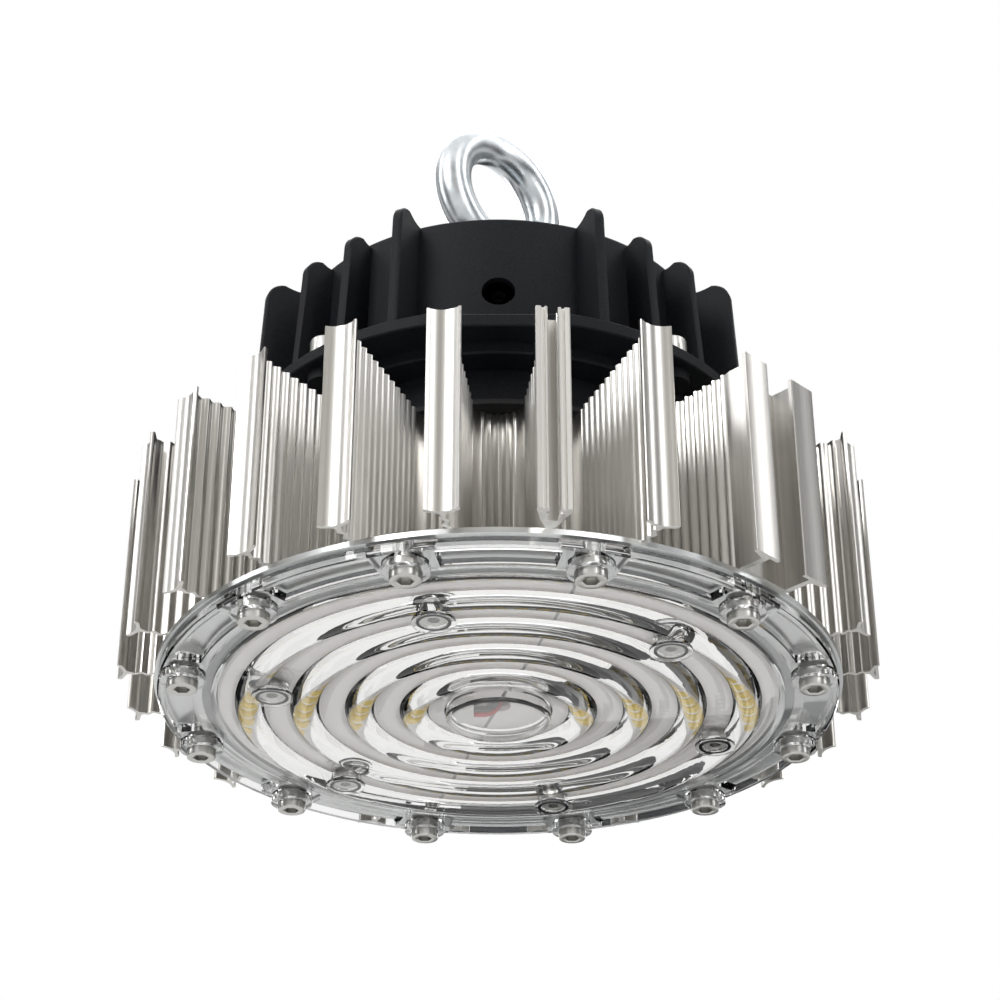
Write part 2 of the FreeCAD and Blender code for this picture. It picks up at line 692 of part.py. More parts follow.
def base_profile():
    """Half section of the driver base: a cup with a rim disc that has a groove for its seal."""
    inside = size("neck_radius") - size("neck_wall")
    floor = z_neck + size("neck_floor")
    groove_in = size("rim_seal_mid") - size("rim_seal_wide") / 2
    groove_out = size("rim_seal_mid") + size("rim_seal_wide") / 2
    groove = z_flange - size("rim_seal_tall")
    steps = [(size("base_opening"), z_neck), (size("neck_radius"), z_neck), (size("neck_radius"), z_base)]
    steps += [(size("base_radius"), z_base), (size("base_radius"), z_flange), (groove_out, z_flange)]
    steps += [(groove_out, groove), (groove_in, groove), (groove_in, z_flange), (inside, z_flange)]
    steps += [(inside, floor), (size("base_opening"), floor)]
    return steps


def make_driver_base():
    body = new_body("driver_base_body")
    profile = new_sketch(body, "base_section", "XZ_Plane")
    outline(profile, base_profile())
    revolve(body, profile, "base_casting")
    ears = new_sketch(body, "ears", lift=lift("neck_tall"))
    lug_blank(ears, size("base_radius") - size("ear_root"))
    pad(body, ears, "screw_ears", "sizes.base_thick")
    taps = new_sketch(body, "ear_taps", lift=lift("neck_tall"))
    tap = "sizes.flange_screw_dia / 2 + sizes.thread_gap"
    circles(taps, tap, size("lug_count"), size("lug_first"), size("lug_screw_circle"))
    pocket(body, taps, "ear_threads", "sizes.base_thick", up=True)
    holes = new_sketch(body, "floor_holes", lift=lift("pad_thick"))
    count = size("base_screw_count")
    circles(holes, "sizes.base_screw_hole / 2", count, 0.0, size("base_screw_circle"))
    pocket(body, holes, "floor_screw_holes", "sizes.neck_floor", up=True)
    return keep(body, "driver_base")


def make_base_screws():
    reach = "sizes.base_screw_head_tall + sizes.neck_floor + sizes.pad_thick + sizes.base_screw_bite"
    head_end = z_neck + size("neck_floor") + size("base_screw_head_tall")
    screw = socket_screw(
        "base_screw", "sizes.base_screw_head", "sizes.base_screw_head_tall", "sizes.base_screw_dia", reach,
        "inner_socket", "sizes.inner_socket_deep", head_end, head_up=True,
    )
    ring_of("base_screws", screw, size("base_screw_count"), 0.0, size("base_screw_circle"))


def make_housing_seal():
    wide = "2 * sizes.rim_seal_mid + sizes.rim_seal_wide"
    narrow = "2 * sizes.rim_seal_mid - sizes.rim_seal_wide"
    seal = ring_piece("housing_seal_ring", wide, narrow, "sizes.rim_seal_tall", z_flange - size("rim_seal_tall"))
    return keep(seal, "housing_seal")


# ---------------------------------------------------------------- driver housing
def rib_middles():
    """Angles of the ribs, which leave out one place at the front and one at the back."""
    right = [size("rib_first") + k * size("rib_pitch") for k in range(int(size("rib_side_count")))]
    return right + [-angle for angle in right]


def rib_trim():
    """What is turned off the ribs' blanks: their outer taper, their round head and the scoop."""
    top = z_rim + size("rib_over")
    corner = size("rib_corner")
    bend = corner * (1 - math.sqrt(0.5))
    head = size("rib_head")
    rim = size("cup_top_radius")
    scoop = size("rib_scoop")
    out = size("rib_foot") + size("rib_scoop")
    steps = [(size("rib_foot"), z_flange), (head, top - corner), ((head - bend, top - bend), (head - corner, top))]
    steps += [(rim + scoop, top), ((rim + scoop * 0.55, z_rim + size("rib_over") * 0.3), (rim, z_rim))]
    steps += [(rim - size("cup_wall"), z_rim), (rim - size("cup_wall"), top + corner)]
    steps += [(out, top + corner), (out, z_flange)]
    return steps


def housing_profile():
    """Half section of the housing: flange, tapered cup, sloping deck and the boss for the eye."""
    wall = size("cup_wall")
    top = size("cup_top_radius")
    edge = size("cup_edge")
    bend = edge * (1 - math.sqrt(0.5))
    foot = size("crown_foot")
    inside = z_rim - size("deck_thick")
    steps = [(size("cup_radius") - wall, z_flange), (size("flange_radius"), z_flange)]
    steps += [(size("flange_radius"), z_cup), (size("cup_radius"), z_cup), (top, z_rim - edge)]
    steps += [((top - bend, z_rim - bend), (top - edge, z_rim)), (foot, z_rim + size("deck_rise"))]
    steps += [(size("crown_radius"), z_crown - size("deck_rise") / 2), (size("crown_radius"), z_crown)]
    steps += [(size("eye_thread") / 2 + size("thread_gap"), z_crown)]
    steps += [(size("eye_thread") / 2 + size("thread_gap"), z_crown - size("crown_thick"))]
    steps += [(size("crown_radius"), z_crown - size("crown_thick")), (top - wall, inside)]
    return steps


def make_driver_housing():
    body = new_body("driver_housing_body")
    bars = new_sketch(body, "rib_blanks", lift=lift("base_thick"))
    start = size("cup_radius") - size("cup_wall") / 2
    half = size("rib_thick") / 2
    blank = [(start, -half), (size("rib_foot"), -half), (size("rib_foot"), half), (start, half)]
    for middle in rib_middles():
        outline(bars, turned_steps(middle, blank))
    pad(body, bars, "ribs", "sizes.flange_thick + sizes.cup_tall + sizes.rib_over")
    trim = new_sketch(body, "rib_outline", "XZ_Plane")
    outline(trim, rib_trim())
    revolve(body, trim, "rib_heads", cut=True)
    profile = new_sketch(body, "cup_section", "XZ_Plane")
    outline(profile, housing_profile())
    revolve(body, profile, "cup_casting")
    lugs = new_sketch(body, "lugs", lift=lift("base_thick"))
    lug_blank(lugs, size("cup_radius"))
    pad(body, lugs, "screw_lugs", "sizes.flange_thick")
    holes = new_sketch(body, "lug_holes", lift=lift("base_thick"))
    hole = "sizes.flange_screw_hole / 2"
    circles(holes, hole, size("lug_count"), size("lug_first"), size("lug_screw_circle"))
    pocket(body, holes, "lug_screw_holes", "sizes.flange_thick", up=True)
    add_port(body)
    add_gland_seat(body)
    return keep(body, "driver_housing")


def add_port(body):
    """The plugged screw port on the front of the cup, with its boss inside the wall."""
    z_port = z_cup + size("port_height")
    back = size("cup_radius") - size("port_boss_deep")
    boss = new_sketch(body, "port_boss", "XZ_Plane")
    boss.AttachmentOffset.Base = V(0, 0, back)
    circle(boss, "sizes.port_boss / 2", 0.0, z_port)
    pad(body, boss, "port_boss_pad", "sizes.port_boss_deep - sizes.cup_wall / 2")
    for name, radius, deep in (
        ("port_sink", "sizes.port_dia / 2", "sizes.port_deep"),
        ("port_drill", "sizes.port_hole / 2", "sizes.port_deep + sizes.port_hole_deep"),
    ):
        mouth = new_sketch(body, name, "XZ_Plane")
        mouth.AttachmentOffset.Base = V(0, 0, size("cup_radius"))
        circle(mouth, radius, 0.0, z_port)
        pocket(body, mouth, name + "_bore", deep)


def add_gland_seat(body):
    """The flat seat for the mains inlet on the rear slope of the deck, and its hole."""
    top = z_rim + size("gland_seat_rise")
    seat = new_sketch(body, "gland_seat")
    seat.AttachmentOffset.Base = V(0, 0, top)
    circle(seat, "sizes.gland_seat", 0.0, size("gland_back"))
    pad(body, seat, "gland_seat_pad", "sizes.gland_seat_rise", down=True)
    hole = new_sketch(body, "gland_hole")
    hole.AttachmentOffset.Base = V(0, 0, top)
    circle(hole, "sizes.gland_thread / 2 + sizes.thread_gap", 0.0, size("gland_back"))
    pocket(body, hole, "gland_thread_hole", "sizes.gland_stub")


def make_flange_screws():
    reach = "sizes.flange_screw_head_tall + sizes.flange_thick + sizes.base_thick"
    screw = socket_screw(
        "flange_screw", "sizes.flange_screw_head", "sizes.flange_screw_head_tall", "sizes.flange_screw_dia",
        reach, "flange_screw_socket", "sizes.flange_screw_socket_deep",
        z_cup + size("flange_screw_head_tall"), head_up=True,
    )
    ring_of("flange_screws", screw, size("lug_count"), size("lug_first"), size("lug_screw_circle"))


def make_driver_module():
    """The sealed driver can: its foot stands on the base's rim disc, inside the cup."""
    body = new_body("driver_module_body")
    foot = new_sketch(body, "driver_foot", lift=lift("base_thick"))
    circle(foot, "sizes.driver_foot")
    pad(body, foot, "driver_foot_plate", "sizes.driver_foot_thick")
    can = new_sketch(body, "driver_can", lift=lift("base_thick"))
    circle(can, "sizes.driver_radius")
    pad(body, can, "driver_can_pad", "sizes.driver_tall")
    return keep(body, "driver_module")


# ---------------------------------------------------------------- hanging eye
def make_eye_bolt():
    z_eye = z_crown + size("eye_centre_over")
    z_collar = z_crown + size("eye_washer_thick") + size("eye_nut_tall")
    ring = doc.addObject("Part::Torus", "eye_ring")
    ring.setExpression("Radius1", "sizes.eye_ring")
    ring.setExpression("Radius2", "sizes.eye_bar")
    turn = math.radians(size("eye_turn"))
    ring.Placement = FreeCAD.Placement(
        V(0, 0, z_eye), FreeCAD.Rotation(V(0, 0, 1), V(-math.sin(turn), math.cos(turn), 0))
    )
    shank_reach = "sizes.eye_bite + sizes.eye_washer_thick + sizes.eye_nut_tall"
    shank = cylinder("eye_shank", "sizes.eye_thread / 2", shank_reach, z_crown - size("eye_bite"))
    collar = doc.addObject("Part::Cone", "eye_collar")
    collar.setExpression("Radius1", "sizes.eye_thread / 2")
    collar.setExpression("Radius2", "sizes.eye_neck")
    rise = z_eye - size("eye_ring") - z_collar
    collar.Height = rise
    collar.Placement = FreeCAD.Placement(V(0, 0, z_collar), FreeCAD.Rotation())
    return keep(fuse("eye_forging", [ring, shank, collar]), "eye_bolt")


def hex_nut(label, flats_apart, bore, height, bottom, x=0.0, y=0.0):
    body = new_body(label + "_body")
    section = new_sketch(body, label + "_section")
    section.AttachmentOffset.Base = V(x, y, bottom)
    outline(section, hexagon(size(flats_apart)))
    circle(section, bore)
    pad(body, section, label + "_pad", height)
    return keep(body, label)


def make_eye_fixings():
    washer = ring_piece(
        "eye_washer_ring", "sizes.eye_washer_dia", "sizes.eye_thread + 2 * sizes.thread_gap",
        "sizes.eye_washer_thick", z_crown,
    )
    keep(washer, "eye_washer")
    bore = "sizes.eye_thread / 2 + sizes.thread_gap"
    hex_nut("eye_nut", "eye_nut_flats", bore, "sizes.eye_nut_tall", z_crown + size("eye_washer_thick"))


# ---------------------------------------------------------------- mains inlet gland
def make_gland():
    """An open cable gland: its body on the seat, the clamping nut on it and the seal inside."""
    seat = z_rim + size("gland_seat_rise")
    back = size("gland_back")
    body = new_body("gland_body_part")
    block = new_sketch(body, "gland_block")
    block.AttachmentOffset.Base = V(0, back, seat)
    outline(block, hexagon(size("gland_body_flats")))
    pad(body, block, "gland_hexagon", "sizes.gland_body_tall")
    stub = new_sketch(body, "gland_stub_section")
    stub.AttachmentOffset.Base = V(0, back, seat)
    circle(stub, "sizes.gland_thread / 2")
    pad(body, stub, "gland_stub", "sizes.gland_stub", down=True)
    bore = new_sketch(body, "gland_bore_section")
    bore.AttachmentOffset.Base = V(0, back, seat + size("gland_body_tall"))
    circle(bore, "sizes.gland_bore / 2")
    pocket(body, bore, "gland_bore", "sizes.gland_body_tall + sizes.gland_stub")
    keep(body, "gland_body")
    top = seat + size("gland_body_tall")
    seal_radius = "sizes.gland_bore / 2 + sizes.gland_seal_wall"
    hex_nut("gland_nut", "gland_nut_flats", seal_radius, "sizes.gland_nut_tall", top, 0.0, back)
    seal = ring_piece(
        "gland_seal_ring", f"2 * ({seal_radius})", "sizes.gland_bore", "sizes.gland_seal_tall", 0.0
    )
    seal.Placement = FreeCAD.Placement(V(0, back, top), FreeCAD.Rotation())
    keep(seal, "gland_seal")


# ---------------------------------------------------------------- build and write
make_heat_sink()
make_base_plate()
make_half_board("board_right", 1)
make_half_board("board_left", -1)
make_chips()
make_connector()
make_lead("lead_red", 1)
make_lead("lead_black", -1)
make_lens()
make_lens_seal()
make_lens_screws()
make_inner_screws()
make_plugs()
make_sink_pad()
make_driver_base()
make_base_screws()
make_housing_seal()
make_driver_housing()
make_flange_screws()
make_driver_module()
make_eye_bolt()
make_eye_fixings()
make_gland()
doc.recompute()

for thing in doc.Objects:
    if {"Invalid", "Error"} & set(thing.State):
        raise RuntimeError(f"{thing.Name} failed: {thing.State}")
for part in PARTS:
    if part.Shape.isNull() or not part.Shape.isValid():
        raise RuntimeError(f"{part.Label} has no valid shape")

os.makedirs("parts", exist_ok=True)
for part in PARTS:
    part.Shape.exportStep(f"parts/{part.Label}.step")
    box = part.Shape.BoundBox
    print(
        f"{part.Label:20s} {len(part.Shape.Solids):4d} solids {part.Shape.Volume:12.1f} mm3"
        f"  z {box.ZMin:7.2f} to {box.ZMax:7.2f}"
    )
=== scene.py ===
# %% [markdown]
# High bay light: the looks
#
# A high bay light hangs from its eye bolt under a warehouse ceiling and shines down through a clear
# lens. The construction is packed already, so this script only dresses it: it loads the packed
# model as a fixed frame in metres, gives every piece its finish, swaps seven nodes for finer
# meshes, and sets up the studio and the camera. Angles round the axis are measured from the front
# (-Y), positive towards +X.

import math

import bmesh
import bpy
from mathutils import Matrix, Vector, geometry


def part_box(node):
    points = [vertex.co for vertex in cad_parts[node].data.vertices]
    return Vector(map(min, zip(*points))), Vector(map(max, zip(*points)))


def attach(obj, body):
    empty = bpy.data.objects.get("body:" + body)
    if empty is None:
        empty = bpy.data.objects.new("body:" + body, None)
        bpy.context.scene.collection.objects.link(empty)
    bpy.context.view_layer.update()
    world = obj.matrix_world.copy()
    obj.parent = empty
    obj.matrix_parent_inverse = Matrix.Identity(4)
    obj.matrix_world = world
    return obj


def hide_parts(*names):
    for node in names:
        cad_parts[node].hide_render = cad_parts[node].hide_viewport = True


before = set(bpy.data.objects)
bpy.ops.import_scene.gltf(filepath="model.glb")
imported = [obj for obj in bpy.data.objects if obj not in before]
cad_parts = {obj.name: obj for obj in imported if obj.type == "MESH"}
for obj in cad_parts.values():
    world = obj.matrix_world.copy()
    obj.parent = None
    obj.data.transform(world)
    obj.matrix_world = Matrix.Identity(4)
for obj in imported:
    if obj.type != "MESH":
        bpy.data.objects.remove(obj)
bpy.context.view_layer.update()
MM = 0.001
print("loaded", len(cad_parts), "nodes")


# %% [markdown]
# Colours are written as the sRGB hex values that a colour picker shows. Blender calculates with
# linear light, so every colour goes through one function that converts it. Typing linear numbers
# by hand would work too, but nobody can read a shade off them.

# %% Colours
def linear(colour):
    """A hex colour such as "d8d6d2" as linear red, green, blue and alpha."""
    channels = [int(colour[k:k + 2], 16) / 255 for k in (0, 2, 4)]
    return (*[c / 12.92 if c <= 0.04045 else ((c + 0.055) / 1.055) ** 2.4 for c in channels], 1.0)


print("mid grey 808080 is", round(linear("808080")[0], 3), "in linear light")


# %% [markdown]
# A material is a tree of nodes. One small function adds any kind of node with its settings, and a
# second starts a material from the Principled shader, which covers metal, plastic and glass.

# %% Nodes
def add_node(tree, kind, **sockets):
    """A node of a tree with some input sockets set; a socket name's spaces are underscores."""
    node = tree.nodes.new(kind)
    for name, value in sockets.items():
        node.inputs[name.replace("_", " ")].default_value = value
    return node


def new_material(name, colour, roughness, metallic=0.0):
    """A material with its Principled shader; returns the material, its tree and the shader."""
    material = bpy.data.materials.new(name)
    material.use_nodes = True
    tree = material.node_tree
    shader = tree.nodes["Principled BSDF"]
    shader.inputs["Base Color"].default_value = linear(colour)
    shader.inputs["Roughness"].default_value = roughness
    shader.inputs["Metallic"].default_value = metallic
    return material, tree, shader


# %% [markdown]
# No real surface is even. Noise gives each finish its grain, and its scale comes from a real
# length: how many grains lie on a millimetre. Blender counts them on a metre, hence the division.
# Image textures could do this as well, but noise needs no files and no unwrapping.

# %% Grain
def noise(tree, stretch, per_mm, detail=2.0):
    """Noise in object coordinates; a stretch below 1 draws its grains out along that axis."""
    place = tree.nodes.new("ShaderNodeTexCoord")
    mapping = add_node(tree, "ShaderNodeMapping", Scale=stretch)
    texture = add_node(tree, "ShaderNodeTexNoise", Scale=per_mm / MM, Detail=detail)
    tree.links.new(place.outputs["Object"], mapping.inputs["Vector"])
    tree.links.new(mapping.outputs["Vector"], texture.inputs["Vector"])
    return texture.outputs["Fac"]


# %% [markdown]
# The same noise can drive the gloss, the shade or the relief of a surface, each by a small helper.

# %% What grain does
def spread(tree, factor, low, high, socket):
    """Map a 0 to 1 factor to a range and feed it to a number socket."""
    node = add_node(tree, "ShaderNodeMapRange", To_Min=low, To_Max=high)
    tree.links.new(factor, node.inputs["Value"])
    tree.links.new(node.outputs["Result"], socket)


def shade(tree, factor, dark, light, socket):
    """Mix two hex colours by a factor and feed a colour socket."""
    ramp = tree.nodes.new("ShaderNodeValToRGB")
    ramp.color_ramp.elements[0].color = linear(dark)
    ramp.color_ramp.elements[0].position = 0.3
    ramp.color_ramp.elements[1].color = linear(light)
    ramp.color_ramp.elements[1].position = 0.7
    tree.links.new(factor, ramp.inputs["Fac"])
    tree.links.new(ramp.outputs["Color"], socket)


def bump(tree, shader, factor, depth_mm, strength):
    """Relief of a real depth in millimetres."""
    node = add_node(tree, "ShaderNodeBump", Strength=strength, Distance=depth_mm * MM)
    tree.links.new(factor, node.inputs["Height"])
    tree.links.new(node.outputs["Normal"], shader.inputs["Normal"])


# %% [markdown]
# The heat sink is mill-finished extruded aluminium. The die draws fine lines along it, so the eye
# sees a soft sheen with faint streaks from top to bottom. Real lines are some hundredths of a
# millimetre apart, too fine to show, so they are drawn 0.9 to a millimetre, with a finer grain
# for the gloss.

# %% Extruded aluminium
def extruded_aluminium():
    material, tree, shader = new_material("extruded_aluminium", "cfcdc9", 0.27, 1.0)
    lines = noise(tree, (1.0, 1.0, 0.01), 0.9, 3.0)
    shade(tree, lines, "c7c5c1", "d7d5d1", shader.inputs["Base Color"])
    grain = noise(tree, (1.0, 1.0, 0.5), 2.6)
    spread(tree, grain, 0.26, 0.34, shader.inputs["Roughness"])
    bump(tree, shader, grain, 0.008, 0.15)
    return material


# %% [markdown]
# The base plate is rolled aluminium sheet, and the driver's can is bent from the same kind. Rolling
# leaves a grain in one direction, so each has noise that is drawn out along it.

# %% Sheet aluminium
def sheet_aluminium():
    material, tree, shader = new_material("sheet_aluminium", "d6d8d8", 0.3, 1.0)
    grain = noise(tree, (1.0, 0.03, 1.0), 1.5)
    spread(tree, grain, 0.25, 0.4, shader.inputs["Roughness"])
    return material


def driver_can():
    material, tree, shader = new_material("driver_can", "a9abad", 0.4, 1.0)
    grain = noise(tree, (1.0, 1.0, 0.1), 0.7)
    spread(tree, grain, 0.35, 0.5, shader.inputs["Roughness"])
    return material


# %% [markdown]
# The eye bolt and the press-in nuts are zinc-plated steel. The bath leaves a cool white metal that
# is a little cloudy, in patches some 4 mm across, so 0.26 lie on a millimetre.

# %% Zinc-plated steel
def zinc_plated_steel():
    material, tree, shader = new_material("zinc_plated_steel", "c9ced2", 0.34, 1.0)
    cloud = noise(tree, (1.0, 1.0, 1.0), 0.26, 4.0)
    spread(tree, cloud, 0.24, 0.36, shader.inputs["Roughness"])
    shade(tree, cloud, "c2c8cd", "dce0e2", shader.inputs["Base Color"])
    bump(tree, shader, cloud, 0.05, 0.3)
    return material


# %% [markdown]
# The screws are stainless steel, pressed and then tumbled, so they are warmer in tone than zinc and
# their gloss varies in specks of just under a millimetre.

# %% Stainless steel
def stainless_steel():
    material, tree, shader = new_material("stainless_steel", "c4c3bf", 0.3, 1.0)
    grain = noise(tree, (1.0, 1.0, 1.0), 1.2)
    spread(tree, grain, 0.22, 0.4, shader.inputs["Roughness"])
    return material


# %% [markdown]
# The two castings are aluminium with a black powder coat. It melts into a fine orange peel of about
# half a millimetre, 2.2 to a millimetre, which scatters the light: nearly black, with no sharp
# highlight. The relief and the dull shine matter more here than the colour does.

# %% Black powder coat
def black_powder_coat():
    material, tree, shader = new_material("black_powder_coat", "101113", 0.55)
    shader.inputs["Specular IOR Level"].default_value = 0.14
    peel = noise(tree, (1.0, 1.0, 1.0), 2.2)
    shade(tree, peel, "0a0b0c", "191b20", shader.inputs["Base Color"])
    spread(tree, peel, 0.48, 0.66, shader.inputs["Roughness"])
    bump(tree, shader, peel, 0.12, 0.55)
    return material


# %% [markdown]
# The lens and its plugs are polycarbonate, moulded against polished steel. It is clear and bends
# light more than glass does, with an index of 1.58, which gives the ridges their bright edges.

# %% Clear polycarbonate
def clear_polycarbonate():
    material, tree, shader = new_material("clear_polycarbonate", "fbfbfb", 0.015)
    shader.inputs["IOR"].default_value = 1.58
    shader.inputs["Transmission Weight"].default_value = 1.0
    return material


# %% [markdown]
# Boards, leads, seals and glands are moulded or coated and need one recipe only: an even colour and
# a faint texture, 1.5 grains to a millimetre. The chips are silicone filled with a yellow phosphor
# powder. Its grains are too fine to show, so they are drawn 2.5 to a millimetre.

# %% Moulded parts and phosphor
def moulded(name, colour, roughness):
    """A moulded plastic or rubber with a faint surface texture."""
    material, tree, shader = new_material(name, colour, roughness)
    texture = noise(tree, (1.0, 1.0, 1.0), 1.5)
    spread(tree, texture, roughness * 0.85, min(1.0, roughness * 1.15), shader.inputs["Roughness"])
    bump(tree, shader, texture, 0.02, 0.3)
    return material


def yellow_phosphor():
    material, tree, shader = new_material("yellow_phosphor", "e6cf62", 0.35)
    grain = noise(tree, (1.0, 1.0, 1.0), 2.5)
    shade(tree, grain, "d3b124", "ecd154", shader.inputs["Base Color"])
    return material


# %% [markdown]
# Each finish goes to the nodes that are made of it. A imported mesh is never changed, only its
# material is.

# %% Finishes on their nodes
MATERIALS = {
    extruded_aluminium(): ["heat_sink"],
    sheet_aluminium(): ["base_plate"],
    zinc_plated_steel(): ["eye_bolt", "eye_nut", "eye_washer", "clinch_nuts", "inner_clinch_nuts"],
    stainless_steel(): ["lens_screws", "inner_screws", "base_screws", "flange_screws"],
    driver_can(): ["driver_module"],
    black_powder_coat(): ["driver_base", "driver_housing"],
    clear_polycarbonate(): ["lens", "lens_plugs"],
    moulded("white_solder_mask", "ece9e8", 0.35): ["board_right", "board_left"],
    yellow_phosphor(): ["light_chips"],
    moulded("white_nylon", "e4e4e0", 0.4): ["board_connector"],
    moulded("red_insulation", "b3201b", 0.35): ["lead_red"],
    moulded("black_insulation", "1b1b1c", 0.35): ["lead_black"],
    moulded("grey_silicone", "8d8f91", 0.5): ["lens_seal", "plug_seals"],
    moulded("dark_silicone", "0f0f10", 0.8): ["sink_pad", "housing_seal"],
    moulded("black_nylon", "1a1b1c", 0.4): ["gland_body", "gland_nut"],
    moulded("black_rubber", "161616", 0.6): ["gland_seal"],
}
for material, nodes in MATERIALS.items():
    for name in nodes:
        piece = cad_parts[name]
        piece.data.materials.clear()
        piece.data.materials.append(material)
    print(material.name, "on", ", ".join(nodes))


# %% [markdown]
# Seven nodes are swapped for finer meshes: the extrusion, both castings, the lens, and the outer
# screws with their nuts. They are built from outlines by bmesh, because a prism or a turned part
# needs only one profile, and its sizes can be read. Sizes are in millimetres, and heights come
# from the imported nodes.

# %% Places
def height(node, end):
    """The lowest (end 0) or highest (end 1) z of a node in millimetres."""
    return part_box(node)[end][2] / MM


def finish_of(node):
    """The material that a node was given."""
    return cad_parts[node].data.materials[0]


def turned(angle, radial, side=0.0):
    """A point at a radius and an offset sideways, for a direction in degrees from the front."""
    turn = math.radians(angle)
    x = radial * math.sin(turn) + side * math.cos(turn)
    return (x, -radial * math.cos(turn) + side * math.sin(turn))


# %% [markdown]
# Two helpers draw curved outlines: an arc through three points, and rounded corners.

# %% Curves
def arc(start, middle, end, count):
    """Points of the circle through three points, both ends included."""
    (ax, ay), (bx, by), (cx, cy) = start, middle, end
    d = 2 * (ax * (by - cy) + bx * (cy - ay) + cx * (ay - by))
    a2, b2, c2 = ax * ax + ay * ay, bx * bx + by * by, cx * cx + cy * cy
    ux = (a2 * (by - cy) + b2 * (cy - ay) + c2 * (ay - by)) / d
    uy = (a2 * (cx - bx) + b2 * (ax - cx) + c2 * (bx - ax)) / d
    radius = math.hypot(ax - ux, ay - uy)
    first = math.atan2(ay - uy, ax - ux)
    through = (math.atan2(by - uy, bx - ux) - first) % math.tau
    last = (math.atan2(cy - uy, cx - ux) - first) % math.tau
    sweep = last if through < last else last - math.tau
    points = []
    for k in range(count + 1):
        turn = first + sweep * k / count
        points.append((ux + radius * math.cos(turn), uy + radius * math.sin(turn)))
    return points


def rounded(points, radius, count=3):
    """A closed outline with each corner cut to an arc-like curve of about a radius."""
    result = []
    for k, point in enumerate(points):
        corner = Vector(point)
        before = Vector(points[k - 1])
        after = Vector(points[(k + 1) % len(points)])
        reach = min(radius, (before - corner).length * 0.45, (after - corner).length * 0.45)
        enter = corner + (before - corner).normalized() * reach
        leave = corner + (after - corner).normalized() * reach
        for j in range(count + 1):
            t = j / count
            result.append(tuple(enter * (1 - t) ** 2 + corner * 2 * t * (1 - t) + leave * t * t))
    return result


# %% [markdown]
# An extrusion is a flat outline pulled straight up. The ends are filled with triangles that go
# round the holes.

# %% Prism
def extrude(mesh, loops, low, high):
    """Add a prism with an outer loop and its holes to a bmesh; heights in millimetres."""
    flat = [[Vector((x, y, 0)) for x, y in loop] for loop in loops]
    points = [point for loop in flat for point in loop]
    bottom = [mesh.verts.new((p.x * MM, p.y * MM, low * MM)) for p in points]
    top = [mesh.verts.new((p.x * MM, p.y * MM, high * MM)) for p in points]
    for a, b, c in geometry.tessellate_polygon(flat):
        mesh.faces.new((bottom[a], bottom[b], bottom[c]))
        mesh.faces.new((top[c], top[b], top[a]))
    first = 0
    for loop in flat:
        for k in range(len(loop)):
            a = first + k
            b = first + (k + 1) % len(loop)
            mesh.faces.new((bottom[a], bottom[b], top[b], top[a]))
        first += len(loop)


# %% [markdown]
# A turned part is a half section that goes round the axis. A point on the axis stays one vertex,
# so that no face has two corners in one place.

# %% Turned part
def revolve(mesh, profile, count, bend=None):
    """Turn a closed profile of (radius, z) round the axis, in a number of even steps or at given
    angles; bend may change a point's height by its angle."""
    turns = [360.0 * k / count for k in range(count)] if isinstance(count, int) else count
    rings = []
    for radius, z in profile:
        if radius < 1e-6:
            rings.append([mesh.verts.new((0, 0, z * MM))] * len(turns))
            continue
        ring = []
        for angle in turns:
            x, y = turned(angle, radius)
            up = bend(radius, z, angle) if bend else z
            ring.append(mesh.verts.new((x * MM, y * MM, up * MM)))
        rings.append(ring)
    for k, ring in enumerate(rings):
        after = rings[(k + 1) % len(rings)]
        for j in range(len(turns)):
            n = (j + 1) % len(turns)
            corners = []
            for vert in (ring[j], ring[n], after[n], after[j]):
                if vert not in corners:
                    corners.append(vert)
            if len(corners) > 2:
                mesh.faces.new(corners)


# %% [markdown]
# Smooth shading hides the facets of a round part, but would also blur its real edges. So every edge
# above an angle is marked sharp. Each new piece rides on the root body and stands for its node.

# %% Finished pieces
def crease(mesh, data, sharp):
    """Write a bmesh with outward normals and smooth faces, sharp at edges over an angle."""
    bmesh.ops.recalc_face_normals(mesh, faces=mesh.faces[:])
    for face in mesh.faces:
        face.smooth = True
        face.material_index = 0
    limit = math.radians(sharp)
    for edge in mesh.edges:
        edge.smooth = len(edge.link_faces) == 2 and edge.calc_face_angle(0.0) < limit
    mesh.to_mesh(data)
    mesh.free()


def make_piece(mesh, name, material, replaced, sharp=38):
    """Turn a bmesh into a piece that stands for a node."""
    data = bpy.data.meshes.new(name)
    crease(mesh, data, sharp)
    data.materials.append(material)
    piece = bpy.data.objects.new(name, data)
    bpy.context.collection.objects.link(piece)
    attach(piece, "root")
    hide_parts(replaced)
    print(name, "has", len(data.polygons), "faces and stands for", replaced)
    return piece


# %% [markdown]
# The heat sink is one extrusion, with 24 places round a core. Each has a wavy web, since waves give
# more surface to the air, and a cap with a dish along it. Every outline is written once as steps
# outwards and sideways, and then turned to its place.

# %% Sizes of the extrusion
FIN_COUNT = 24
FIN_PITCH = 15.0
FIN_FIRST = 7.5
BORE = 18.0
CORE = 53.8
ROOT = 60.5
TIP = 107.7
CAP_HALF = 4.55
WEB_HALF = 0.6
WAVE = 0.55
WAVE_PITCH = 3.45
STEPS_PER_WAVE = 8
CHANNEL_ANGLE = 45.0
CHANNEL_BACK = (97.2, 8.9)
print("fins", FIN_PITCH, "degrees apart, tips at", TIP, "mm")


# %% [markdown]
# A web's two sides sway together, so that its thickness stays the same.

